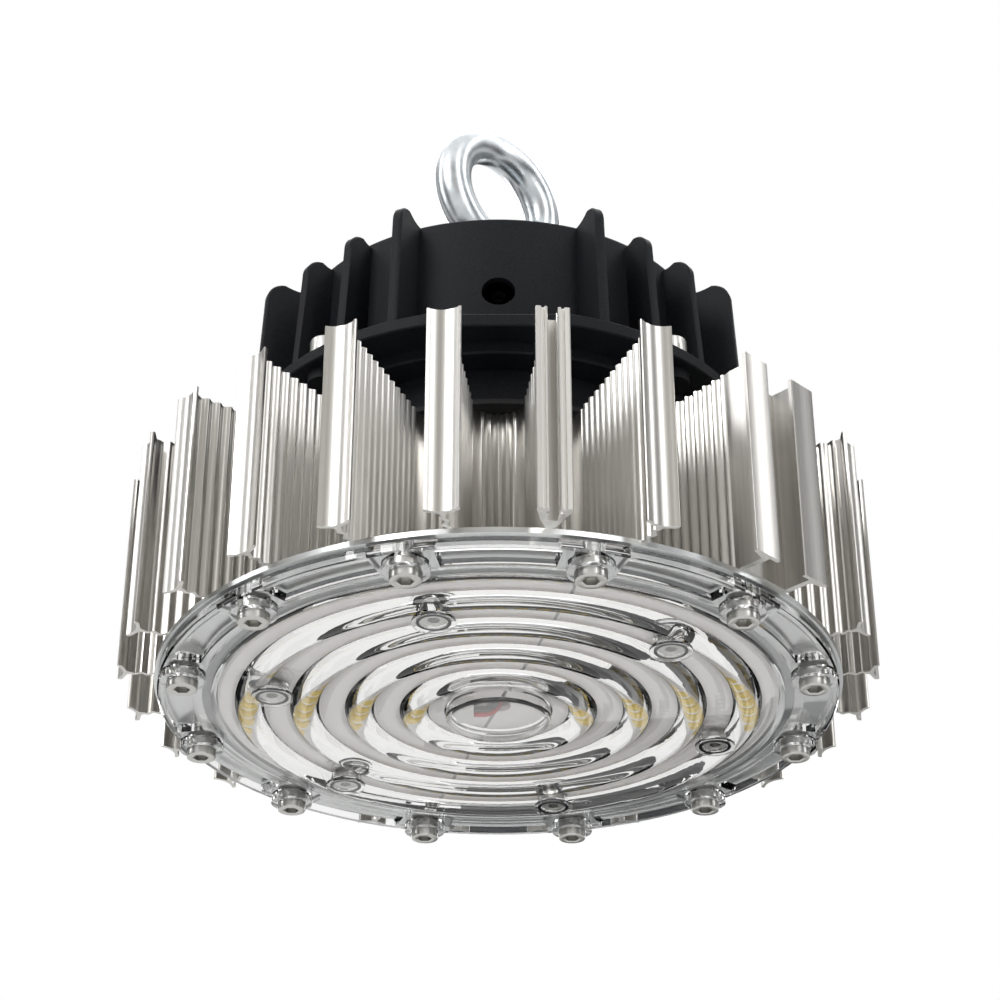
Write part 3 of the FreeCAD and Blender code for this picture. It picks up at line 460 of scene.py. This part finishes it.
# %% Web
def web_sides(reach):
    """Both wavy sides of a web as (radial, side) points, eight to a wave."""
    waves = round((reach - ROOT - 1.5) / WAVE_PITCH)
    count = waves * STEPS_PER_WAVE
    lower, upper = [(ROOT, -WEB_HALF)], [(ROOT, WEB_HALF)]
    for k in range(count + 1):
        radial = ROOT + 0.8 + (reach - ROOT - 1.5) * k / count
        sway = WAVE * math.sin(math.tau * k / STEPS_PER_WAVE)
        lower.append((radial, sway - WEB_HALF))
        upper.append((radial, sway + WEB_HALF))
    return lower, upper


# %% [markdown]
# Most fins end in a dished cap. One at the front ends in two arms with a slot for a screw.

# %% Fin ends
def capped_fin():
    lower, upper = web_sides(104.4)
    lip = TIP - 1.0
    dish = arc((TIP - 0.1, -CAP_HALF + 0.5), (TIP - 1.5, 0), (TIP - 0.1, CAP_HALF - 0.5), 12)
    head = [(105.0, -1.0), (lip - 0.4, -CAP_HALF + 0.3), (lip, -CAP_HALF), (TIP - 0.2, -CAP_HALF)]
    head.append((TIP, -CAP_HALF + 0.25))
    mirror = [(r, -side) for r, side in reversed(head)]
    return lower + head + dish + mirror + list(reversed(upper))


def slotted_fin():
    lower, upper = web_sides(97.8)
    arm = [(98.5, 1.5), (101.5, 2.85), (106.0, 4.3), (106.3, 4.55), (TIP - 0.25, 4.55), (TIP, 4.3)]
    arm += [(TIP, 3.1), (107.0, 2.9), (107.0, 2.3), (TIP, 2.1), (TIP, 1.6), (TIP - 0.25, 1.35)]
    arm += [(106.1, 1.35), (105.4, 2.3), (104.75, 1.35), (101.5, 1.35)]
    first = [(r, -side) for r, side in arm]
    return lower + first + list(reversed(arm)) + list(reversed(upper))


# %% [markdown]
# Two webs at the right share a channel that takes a bracket. Behind it lies a closed cell.

# %% Bracket channel
def channel_reach(sign):
    """Radius and angle at which a web meets a back corner of the bracket channel."""
    out, side = CHANNEL_BACK
    return math.hypot(out, side), CHANNEL_ANGLE + sign * math.degrees(math.atan2(side, out))


def channel_path():
    half = [(98.1, 9.8), (104.8, 9.8), (106.0, 14.3), (107.0, 14.3), (107.2, 14.0), (107.2, 5.3)]
    half += [(107.0, 5.1), (106.0, 5.1), (106.0, 8.0), (98.1, 8.0)]
    return [(r, -side) for r, side in half] + list(reversed(half))


# %% [markdown]
# The core's wall has five small ribs between each two fins: a cosine added to its radius, from a
# quarter to three quarters of the way.

# %% Core
CORE_STEPS = 60
RIB_STEPS = 6
RIB_HEIGHT = 0.35


def ribbed(points):
    """The core's wall between two fins, with small ribs in its middle; both ends left out."""
    first = CORE_STEPS // 4
    result = []
    for k, (x, y) in enumerate(points[1:-1], start=1):
        out = 1.0
        if first <= k <= CORE_STEPS - first:
            wave = 1 - math.cos(math.tau * (k - first) / RIB_STEPS)
            out = 1.0 + RIB_HEIGHT * wave / math.hypot(x, y)
        result.append((x * out, y * out))
    return result


# %% [markdown]
# The section is then walked once round, fin by fin, with the core's wall between them.

# %% Section
def sink_outline():
    """The outer loop of the section, place after place, and the cell behind the channel."""
    reach, left = channel_reach(-1)
    right = channel_reach(1)[1]
    lower, upper = web_sides(reach - 0.6)
    places = []
    for k in range(FIN_COUNT):
        angle = FIN_FIRST + k * FIN_PITCH
        if abs(angle - CHANNEL_ANGLE) > FIN_PITCH:
            path = slotted_fin() if k == 0 else capped_fin()
            places.append((angle, angle, [turned(angle, *p) for p in path]))
    pair = [turned(left, *p) for p in lower] + [turned(CHANNEL_ANGLE, *p) for p in channel_path()]
    pair += [turned(right, *p) for p in reversed(upper)]
    places.append((left, right, pair))
    places.sort(key=lambda place: place[0])
    loop = []
    for k, (begin, finish, path) in enumerate(places):
        loop += path
        after = places[(k + 1) % len(places)][0]
        after += 360.0 if after < finish else 0.0
        middle = turned((finish + after) / 2, CORE)
        loop += ribbed(arc(path[-1], middle, turned(after, ROOT, -WEB_HALF), CORE_STEPS))
    cell = [turned(left, *p) for p in upper]
    cell += [turned(CHANNEL_ANGLE, 95.3, side) for side in (-8, 8)]
    cell += [turned(right, *p) for p in reversed(lower)]
    cell += arc(cell[-1], turned(CHANNEL_ANGLE, CORE), cell[0], 8)[1:-1]
    return loop, cell


def make_heat_sink(material):
    mesh = bmesh.new()
    loop, cell = sink_outline()
    bore = [turned(k * 7.5, BORE) for k in range(48)]
    extrude(mesh, [loop, cell, bore], height("heat_sink", 0), height("heat_sink", 1))
    make_piece(mesh, "heat_sink_extrusion", material, "heat_sink")


make_heat_sink(finish_of("heat_sink"))


# %% [markdown]
# The driver housing is one casting: a flange with four flats, a tapered cup with a sloping deck,
# and four groups of four ribs over the flange's round corners. A casting has no sharp edge, and
# the small radius along each one catches the light, so every part gets one. In each row of RIBS
# are a rib's angle in its group, the radius of its foot, its height over the rim and its taper.

# %% Sizes of the housing
FLANGE_ROUND = 77.2
FLANGE_FLAT = 74.5
FLANGE_DROP = 2.0
CUP = 64.0
CUP_TOP = 62.6
RIB_HALF = 1.5
RIB_ROUND = 0.45
RIBS = ((-22.5, 77.0, 0.7, 1.8), (-7.5, 74.0, -0.5, 2.4),
        (7.5, 74.0, -0.5, 2.4), (22.5, 77.0, 0.7, 1.8))
EAR_ANGLE = 45.0
print(4 * len(RIBS), "ribs, flange", 2 * FLANGE_ROUND, "mm across")


# %% [markdown]
# The flange is a stack of four loops of one outline, the outer ones slightly smaller.

# %% Flange
def flange_outline():
    turn = math.degrees(math.acos(FLANGE_FLAT / FLANGE_ROUND))
    loop = []
    for quarter in range(4):
        start = quarter * 90.0 + turn
        loop += [turned(start + (90 - 2 * turn) * k / 24, FLANGE_ROUND) for k in range(25)]
    return rounded(loop, 0.8, 1)


def flange(mesh, low, high):
    """The flange as stacked loops, so that its edges are rounded by half a millimetre."""
    loop = flange_outline()
    hole = [turned(k * 5.0, 62.0) for k in range(72)]
    levels = [(low, 0.995), (low + 0.35, 1.0), (high - 0.5, 1.0), (high, 0.994)]
    rings = []
    for z, scale in levels:
        rings.append([mesh.verts.new((x * scale * MM, y * scale * MM, z * MM)) for x, y in loop])
    inner = []
    for z in (low, high):
        inner.append([mesh.verts.new((x * MM, y * MM, z * MM)) for x, y in hole])
    for a, b in zip(rings, rings[1:]):
        for k in range(len(loop)):
            n = (k + 1) % len(loop)
            mesh.faces.new((a[k], a[n], b[n], b[k]))
    for k in range(len(hole)):
        n = (k + 1) % len(hole)
        mesh.faces.new((inner[0][k], inner[1][k], inner[1][n], inner[0][n]))
    flat = [[Vector((x, y, 0)) for x, y in loop], [Vector((x, y, 0)) for x, y in hole]]
    for ring, rim in ((rings[0], inner[0]), (rings[-1], inner[1])):
        verts = ring + rim
        for a, b, c in geometry.tessellate_polygon(flat):
            mesh.faces.new((verts[a], verts[b], verts[c]))


# %% [markdown]
# The cup is turned from a half section, from the wall over the rim and up to the eye's boss.

# %% Cup
def cup_profile(low, rim, crown):
    """Half section of the cup: wall, rounded rim, sloping deck and the boss under the eye."""
    wall = 3.0
    steps = [(CUP - wall, low), (CUP, low), (CUP_TOP, rim - 1.2)]
    steps += arc((CUP_TOP, rim - 1.2), (CUP_TOP - 0.35, rim - 0.35), (CUP_TOP - 1.2, rim), 4)[1:]
    steps += arc((27.0, rim + 8.0), (21.5, rim + 9.3), (19.0, rim + 12.5), 4)
    steps += [(19.0, crown - 0.5), (18.5, crown), (6.05, crown), (6.05, crown - 10.5)]
    steps += [(19.0, crown - 10.5), (CUP_TOP - wall, rim - 3.5)]
    return steps


# %% [markdown]
# A rib is a plate with a round head. Two loops in its middle and two narrower ones at its faces
# round its edges.

# %% Ribs
def rib_outline(low, rim, foot, over, taper):
    """A rib's side: its tapered edge, its round head and the scoop down to the deck."""
    top = rim + over
    head = foot - taper
    steps = [(CUP - 2.0, low), (foot, low), (head + 0.25, top - 7.0)]
    steps += arc((head + 0.2, top - 6.5), (head - 1.5, top - 1.8), (head - 5.2, top), 8)[1:]
    steps += arc((head - 5.4, top), (head - 9.5, top - 1.1), (CUP_TOP - 1.6, top - 0.9), 8)[1:]
    return steps + [(CUP_TOP - 2.0, rim - 2.0)]


def rib(mesh, angle, outline):
    """A plate along a direction, with its rim slightly narrower than its middle."""
    sides = []
    core = RIB_HALF - RIB_ROUND
    for side, shrink in ((-RIB_HALF, RIB_ROUND), (-core, 0.0), (core, 0.0), (RIB_HALF, RIB_ROUND)):
        ring = []
        centre = Vector((sum(p[0] for p in outline), sum(p[1] for p in outline))) / len(outline)
        for radial, z in outline:
            inward = (centre - Vector((radial, z))).normalized() * shrink
            x, y = turned(angle, radial + inward.x, side)
            ring.append(mesh.verts.new((x * MM, y * MM, (z + inward.y * (z > outline[0][1])) * MM)))
        sides.append(ring)
    for a, b in zip(sides, sides[1:]):
        for k in range(len(outline)):
            n = (k + 1) % len(outline)
            mesh.faces.new((a[k], a[n], b[n], b[k]))
    flat = [[Vector((r, z, 0)) for r, z in outline]]
    for ring in (sides[0], sides[-1]):
        for a, b, c in geometry.tessellate_polygon(flat):
            mesh.faces.new((ring[a], ring[b], ring[c]))


# %% [markdown]
# Holes are cut with boolean modifiers by round tools. The result is read back as a plain mesh, so
# that no modifier is left on the piece.

# %% Holes
def drill(piece, tools, operation="DIFFERENCE"):
    """Cut tools out of a piece, or join them to it, and remove them."""
    for tool in tools:
        boolean = piece.modifiers.new("cut", "BOOLEAN")
        boolean.operation = operation
        boolean.solver = "EXACT"
        boolean.object = tool
    graph = bpy.context.evaluated_depsgraph_get()
    result = bpy.data.meshes.new_from_object(piece.evaluated_get(graph))
    piece.modifiers.clear()
    mesh = bmesh.new()
    mesh.from_mesh(result)
    crease(mesh, result, 35)
    piece.data = result
    for tool in tools:
        bpy.data.objects.remove(tool)


def cutter(radius, low, high, matrix, count=32):
    """A round cutter along its own Z, placed by a matrix in millimetres."""
    mesh = bmesh.new()
    revolve(mesh, [(0, low), (radius, low), (radius, high), (0, high)], count)
    bmesh.ops.recalc_face_normals(mesh, faces=mesh.faces[:])
    matrix = matrix.copy()
    matrix.translation *= MM
    mesh.transform(matrix)
    data = bpy.data.meshes.new("cutter")
    mesh.to_mesh(data)
    mesh.free()
    tool = bpy.data.objects.new("cutter", data)
    bpy.context.collection.objects.link(tool)
    return tool


# %% [markdown]
# The port is a stepped recess in the front of the cup, so a boss behind the wall carries it.

# %% Build the housing
def port_cutters(place):
    """The port's recess and the screw hole in its floor."""
    return [cutter(4.8, -3.4, 4.0, place), cutter(1.95, -7.5, 4.0, place)]


def make_housing(material):
    low = height("driver_housing", 0) - FLANGE_DROP
    flange_top = low + 4.0
    port = low + 19.2
    rim = low + 45.5
    crown = height("driver_housing", 1)
    mesh = bmesh.new()
    revolve(mesh, cup_profile(low, rim, crown), 160)
    cup = make_piece(mesh, "housing_cup", material, "driver_housing")
    front = Matrix.Translation((0, -CUP, port)) @ Matrix.Rotation(math.radians(90), 4, "X")
    drill(cup, port_cutters(front))
    mesh = bmesh.new()
    revolve(mesh, [(0, -9.0), (7.0, -9.0), (7.0, -2.6), (0, -2.6)], 40)
    inward = Matrix.Translation((0, -CUP * MM, port * MM))
    mesh.transform(inward @ Matrix.Rotation(math.radians(90), 4, "X"))
    boss = make_piece(mesh, "port_boss", material, "driver_housing")
    drill(boss, port_cutters(front))
    mesh = bmesh.new()
    flange(mesh, low, flange_top)
    for quarter in range(4):
        for offset, foot, over, taper in RIBS:
            outline = rib_outline(low + 2.0, rim, foot, over, taper)
            rib(mesh, EAR_ANGLE + quarter * 90.0 + offset, outline)
    make_piece(mesh, "housing_ribs", material, "driver_housing")
    mesh = bmesh.new()
    seat = height("gland_body", 0)
    ring = [(5.0, seat - 9.0), (11.5, seat - 9.0), (11.5, seat - 0.5), (11.0, seat), (5.0, seat)]
    revolve(mesh, ring, 48)
    mesh.transform(Matrix.Translation((0, 44.0 * MM, 0)))
    make_piece(mesh, "gland_seat", material, "driver_housing")


make_housing(finish_of("driver_housing"))


# %% [markdown]
# The base is the cup that the housing is screwed to. Its four ears are round discs that reach out
# under the flange screws, each built on the axis and moved to its place.

# %% Build the base
def make_base(material):
    """The cup under the housing, with its rim disc and four round ears for the flange screws."""
    low = height("driver_base", 0)
    top = height("driver_base", 1) - FLANGE_DROP
    mesh = bmesh.new()
    steps = [(20.0, low), (57.0, low), (57.5, low + 0.5), (57.5, top - 3.6), (66.0, top - 3.6)]
    steps += [(66.5, top - 3.1), (66.5, top - 0.02), (53.5, top - 0.02), (53.5, low + 4.0)]
    steps += [(20.0, low + 4.0)]
    revolve(mesh, steps, 144)
    for k in range(4):
        x, y = turned(EAR_ANGLE + k * 90.0, 69.5)
        before = len(mesh.verts)
        revolve(mesh, [(0, top - 3.4), (5.0, top - 3.4), (5.0, top - 0.04), (0, top - 0.04)], 32)
        mesh.verts.ensure_lookup_table()
        bmesh.ops.translate(mesh, vec=(x * MM, y * MM, 0), verts=mesh.verts[before:])
    make_piece(mesh, "driver_base_casting", material, "driver_base")


make_base(finish_of("driver_base"))


# %% [markdown]
# The lens is one clear moulding with a round ridge over each ring of chips, a low dome in the
# middle, hollows in its flange between the screws, and a boss round each screw. What makes clear
# plastic look real is its thickness, so the section has both its outside and its inside.

# %% Sizes of the lens
RIM_COUNT = 12
RIM_FIRST = 15.0
RIM_CIRCLE = 90.0
INNER_COUNT = 6
INNER_FIRST = 45.0
INNER_CIRCLE = 65.0
RINGS = [24.0 + k * 15.5 for k in range(4)]
RING_HALF = 4.1
RING_TALL = 3.0
POCKET = (86.6, 94.6)
POCKET_HALF = 9.6
POCKET_DEEP = 2.2
GROOVE_HALF = 3.0
GROOVE_DEEP = 0.8
print("ridges at radii", RINGS, "mm")


# %% [markdown]
# The half section goes along the outside from the dome to the rim, and back along the inside. A
# shallow groove behind each ridge bends the reflections into thin streaks.

# %% Section of the lens
def lens_profile(low, top):
    face = low + 3.3
    inside = face + 1.7
    seat = face + 0.8
    grooves = []
    steps = [(0, low), (13.0, low)] + arc((13.8, low), (14.7, low + 0.35), (15.0, low + 1.2), 5)
    steps += [(15.0, face - 0.4), (15.4, face)]
    for radius in RINGS:
        near, far = radius - RING_HALF, radius + RING_HALF
        curve = arc((near, face), (radius, face - RING_TALL), (far, face), 20)
        steps += [(near - 0.4, face)] + curve + [(far + 0.4, face)]
        near, far = radius - GROOVE_HALF, radius + GROOVE_HALF
        grooves = arc((far, inside), (radius, inside - GROOVE_DEEP), (near, inside), 12) + grooves
    steps += [(80.6, face), (81.3, face + 0.3), (81.3, seat)]
    for radius in POCKET:
        steps += [(radius - 0.01, seat), (radius, seat)]
    steps += [(95.9, seat), (96.4, seat + 0.5), (96.4, top - 0.5), (95.9, top)]
    steps += [(83.9, top), (83.9, top - 1.6), (81.3, top - 1.6), (81.3, top), (79.6, top)]
    steps += [(79.6, inside)]
    return steps + grooves + [(13.6, inside), (13.6, low + 1.4), (0, low + 1.4)]


# %% [markdown]
# The flange's hollows go only part of the way round. So the section is turned in steps that are
# doubled at both ends of each hollow, and inside one its floor is pushed up.

# %% Build the lens
def lens_turns():
    """Angles of the moulding's sections, doubled at both ends of each hollow of the flange."""
    turns = [k * 2.5 for k in range(144)]
    for k in range(RIM_COUNT):
        middle = RIM_FIRST + (k + 0.5) * 30.0
        for end in (middle - POCKET_HALF, middle + POCKET_HALF):
            turns += [end - 0.15, end + 0.15]
    return sorted(angle % 360.0 for angle in turns)


def rim_places():
    """Where the rim screws stand."""
    return [turned(RIM_FIRST + k * 30.0, RIM_CIRCLE) for k in range(RIM_COUNT)]


def make_lens(material):
    low = height("lens", 0)
    top = height("lens", 1)
    seat = low + 4.1

    def hollow(radius, z, angle):
        inside = POCKET[0] - 0.005 < radius < POCKET[1] - 0.005
        near = abs((angle - RIM_FIRST) % 30.0 - 15.0) < POCKET_HALF
        return z + POCKET_DEEP if inside and near and abs(z - seat) < 0.01 else z

    mesh = bmesh.new()
    revolve(mesh, lens_profile(low, top - 0.05), lens_turns(), hollow)
    lens = make_piece(mesh, "lens_moulding", material, "lens", sharp=30)
    rim = [Matrix.Translation((*place, 0)) for place in rim_places()]
    inner = [turned(INNER_FIRST + k * 60.0, INNER_CIRCLE) for k in range(INNER_COUNT)]
    inner = [Matrix.Translation((*place, 0)) for place in inner]
    bosses = [cutter(6.3, low + 1.5, low + 5.5, place, 40) for place in rim]
    bosses += [cutter(4.65, low + 0.8, low + 4.9, place, 40) for place in inner]
    drill(lens, bosses, "UNION")
    holes = [cutter(2.7, low - 1, top + 1, place) for place in rim]
    holes += [cutter(4.4, low - 1, low + 4.1, place) for place in rim]
    holes += [cutter(3.8, low - 1, top - 2.9, place) for place in inner]
    drill(lens, holes)


make_lens(finish_of("lens"))


# %% [markdown]
# Socket screws have a head with a rounded edge and a six-sided socket. The socket's loop has as
# many points as the round ones, each moved out to the hexagon, so that all loops join in even
# faces.

# %% Screw
SCREW_POINTS = 48
SHANK = 2.45
HEAD = 4.25
SOCKET = 2.3


def screw(mesh, place, seat, tall, end, deep):
    """A screw from its seat: the head goes one way, the shank to its end the other way."""
    way = 1 if seat > end else -1
    top = seat + way * tall
    flat = math.radians(30)
    turns = [math.radians(k * 360 / SCREW_POINTS) for k in range(SCREW_POINTS)]
    hexagon = [SOCKET * math.cos(flat) / math.cos(turn % (2 * flat) - flat) for turn in turns]
    rings = [(SHANK, end), (SHANK, seat), (HEAD, seat), (HEAD, top - way * 0.45)]
    rings += [(HEAD - 0.15, top - way * 0.12), (HEAD - 0.5, top), (SOCKET + 0.12, top)]
    rows = [([radius] * SCREW_POINTS, z) for radius, z in rings]
    rows += [(hexagon, top - way * 0.12), (hexagon, top - way * deep)]
    loops = []
    for reaches, z in rows:
        loop = []
        for turn, reach in zip(turns, reaches):
            x = place[0] + reach * math.cos(turn)
            y = place[1] + reach * math.sin(turn)
            loop.append(mesh.verts.new((x * MM, y * MM, z * MM)))
        loops.append(loop)
    for first, second in zip(loops, loops[1:]):
        for k in range(SCREW_POINTS):
            n = (k + 1) % SCREW_POINTS
            mesh.faces.new((first[k], first[n], second[n], second[k]))
    mesh.faces.new(loops[0])
    mesh.faces.new(loops[-1])


# %% [markdown]
# Four screws with full-height heads hold the housing to the ears of the base.

# %% Flange screws
def make_flange_screws(material):
    seat = height("driver_housing", 0) + 4.0 - FLANGE_DROP
    mesh = bmesh.new()
    for k in range(4):
        screw(mesh, turned(EAR_ANGLE + k * 90.0, 70.0), seat, 7.0, seat - 7.0, 2.8)
    make_piece(mesh, "flange_screw_heads", material, "flange_screws")


make_flange_screws(finish_of("flange_screws"))


# %% [markdown]
# Twelve screws clamp the rim of the lens, and end in low nuts that are pressed into the plate.

# %% Rim screws
def make_rim_screws(material, nut_material):
    seat = height("lens_screws", 0) + 5.0
    plate = height("base_plate", 1)
    nut = [(2.5, plate), (4.4, plate), (4.4, plate + 0.6), (4.1, plate + 0.9), (2.5, plate + 0.9)]
    mesh = bmesh.new()
    nuts = bmesh.new()
    for place in rim_places():
        screw(mesh, place, seat, 5.0, plate + 0.7, 2.5)
        before = len(nuts.verts)
        revolve(nuts, nut, 36)
        nuts.verts.ensure_lookup_table()
        way = (place[0] * MM, place[1] * MM, 0)
        bmesh.ops.translate(nuts, vec=way, verts=nuts.verts[before:])
    make_piece(mesh, "rim_screws", material, "lens_screws")
    make_piece(nuts, "rim_nuts", nut_material, "clinch_nuts")


make_rim_screws(finish_of("lens_screws"), finish_of("clinch_nuts"))


# %% [markdown]
# The light hangs in a pale studio. Metal and glass show hardly any colour of their own, only what
# they reflect, so the studio is built for its reflections. All of it is stage.

# %% Sheets
def sheet_mesh(name, width, tall, place, facing):
    """A flat sheet centred at a place and facing a direction."""
    mesh = bpy.data.meshes.new(name)
    half_w = width / 2
    half_h = tall / 2
    corners = [(-half_w, -half_h, 0), (half_w, -half_h, 0)]
    corners += [(half_w, half_h, 0), (-half_w, half_h, 0)]
    mesh.from_pydata(corners, [], [(0, 1, 2, 3)])
    sheet = bpy.data.objects.new(name, mesh)
    sheet.location = place
    sheet.rotation_euler = Vector(facing).to_track_quat("Z", "Y").to_euler()
    bpy.context.collection.objects.link(sheet)
    return sheet


# %% [markdown]
# A white surround alone would leave bright metal flat and white. Dark cards that only mirrors and
# clear plastic see give it dark streaks and edges, as black flags do in a studio.

# %% Cards
def card(name, angle, width, tall, colour, distance=0.9, middle=0.3):
    """A card that faces the axis; one nearer than a metre also shows through clear plastic."""
    turn = math.radians(angle)
    place = (distance * math.sin(turn), -distance * math.cos(turn), middle)
    panel = sheet_mesh(name, width, tall, place, Vector((0, 0, middle)) - Vector(place))
    material, tree, shader = new_material(name, colour, 0.9)
    panel.data.materials.append(material)
    panel.visible_camera = False
    panel.visible_shadow = False
    panel.visible_diffuse = False
    panel.visible_transmission = distance < 1.0


# %% [markdown]
# The lamps are large and weak, for soft shadows. Thin upright strips draw the bright lines that
# run down the fins' caps.

# %% Lamps
def soft_box(name, place, size, power):
    """A rectangular lamp aimed at the middle of the light."""
    lamp = bpy.data.lights.new(name, "AREA")
    lamp.shape = "RECTANGLE"
    lamp.size = size[0]
    lamp.size_y = size[1]
    lamp.energy = power
    box = bpy.data.objects.new(name, lamp)
    box.location = place
    aim = Vector((0, 0, 0.08)) - Vector(place)
    box.rotation_euler = aim.to_track_quat("-Z", "Y").to_euler()
    bpy.context.collection.objects.link(box)


# %% [markdown]
# The background is to look white without lighting the object more. Light Path tells a ray that is
# seen, straight on or by a mirror or clear plastic, from one that only carries light.

# %% World and floor
def seen_directly(tree):
    """1 for camera, mirror and see-through rays, 0 for those that light the object."""
    path = tree.nodes.new("ShaderNodeLightPath")
    factor = path.outputs["Is Camera Ray"]
    for ray in ("Is Glossy Ray", "Is Transmission Ray"):
        either = add_node(tree, "ShaderNodeMath")
        either.operation = "MAXIMUM"
        tree.links.new(factor, either.inputs[0])
        tree.links.new(path.outputs[ray], either.inputs[1])
        factor = either.outputs[0]
    return factor


def pale_world():
    """Even light for the object, and plain white where a ray that is seen meets nothing."""
    world = bpy.data.worlds.new("studio")
    world.use_nodes = True
    tree = world.node_tree
    tree.nodes.clear()
    lit = add_node(tree, "ShaderNodeBackground", Color=linear("ffffff"), Strength=0.45)
    seen = add_node(tree, "ShaderNodeBackground", Color=linear("ffffff"), Strength=1.0)
    mix = tree.nodes.new("ShaderNodeMixShader")
    output = tree.nodes.new("ShaderNodeOutputWorld")
    tree.links.new(seen_directly(tree), mix.inputs["Fac"])
    tree.links.new(lit.outputs[0], mix.inputs[1])
    tree.links.new(seen.outputs[0], mix.inputs[2])
    tree.links.new(mix.outputs[0], output.inputs["Surface"])
    bpy.context.scene.world = world


def pale_floor():
    """A floor well below the hanging light, nearly white, which keeps some of a shadow."""
    floor = sheet_mesh("floor", 60.0, 60.0, (0, 0, -0.75), (0, 0, 1))
    material, tree, shader = new_material("pale_floor", "f2f2f0", 0.8)
    white = add_node(tree, "ShaderNodeEmission", Color=linear("fbfbfa"), Strength=1.0)
    share = add_node(tree, "ShaderNodeMath")
    share.operation = "MULTIPLY"
    share.inputs[1].default_value = 0.75
    mix = tree.nodes.new("ShaderNodeMixShader")
    tree.links.new(seen_directly(tree), share.inputs[0])
    tree.links.new(share.outputs[0], mix.inputs["Fac"])
    tree.links.new(shader.outputs[0], mix.inputs[1])
    tree.links.new(white.outputs[0], mix.inputs[2])
    tree.links.new(mix.outputs[0], tree.nodes["Material Output"].inputs["Surface"])
    floor.data.materials.append(material)


# %% [markdown]
# All is now put in place, angles again being measured from the front.

# %% Set the studio
pale_world()
pale_floor()
soft_box("key_light", (-0.9, -1.0, 0.9), (0.6, 0.8), 12.0)
soft_box("top_light", (0.1, 0.5, 1.3), (1.2, 0.8), 9.0)
soft_box("under_light", (0.0, -0.5, -0.7), (1.0, 0.5), 5.5)
STRIPS = (-84, 30, 76, 150, -150)
for k, angle in enumerate(STRIPS):
    turn = math.radians(angle)
    soft_box(f"strip_{k}", (0.85 * math.sin(turn), -0.85 * math.cos(turn), 0.5), (0.1, 1.0), 1.5)
card("card_front", 0.0, 0.8, 1.1, "b8b4ad", 1.4, 0.8)
CARDS = ((-60, 0.36), (-100, 0.34), (-134, 0.34), (172, 0.36), (130, 0.34), (95, 0.34), (53, 0.3))
for k, (angle, width) in enumerate(CARDS):
    card(f"card_{k}", angle, width, 1.4, "1f2023")
print(3 + len(STRIPS), "lamps and", 1 + len(CARDS), "cards")


# %% [markdown]
# The camera stands in front of the light and below it, looking up. A long lens keeps the near fins
# from looking larger than the far ones.

# %% Camera
def add_camera():
    data = bpy.data.cameras.new("camera")
    data.sensor_width = 36.0
    data.lens = 82.84
    data.shift_x = 0.0016
    camera = bpy.data.objects.new("camera", data)
    camera.location = (0.0, -0.5971, -0.2696)
    camera.rotation_euler = (math.radians(90 + 29.89), 0, 0)
    bpy.context.collection.objects.link(camera)
    bpy.context.scene.camera = camera


add_camera()
bpy.context.scene.view_settings.view_transform = "Standard"
print("camera at", tuple(round(c, 3) for c in bpy.context.scene.camera.location))
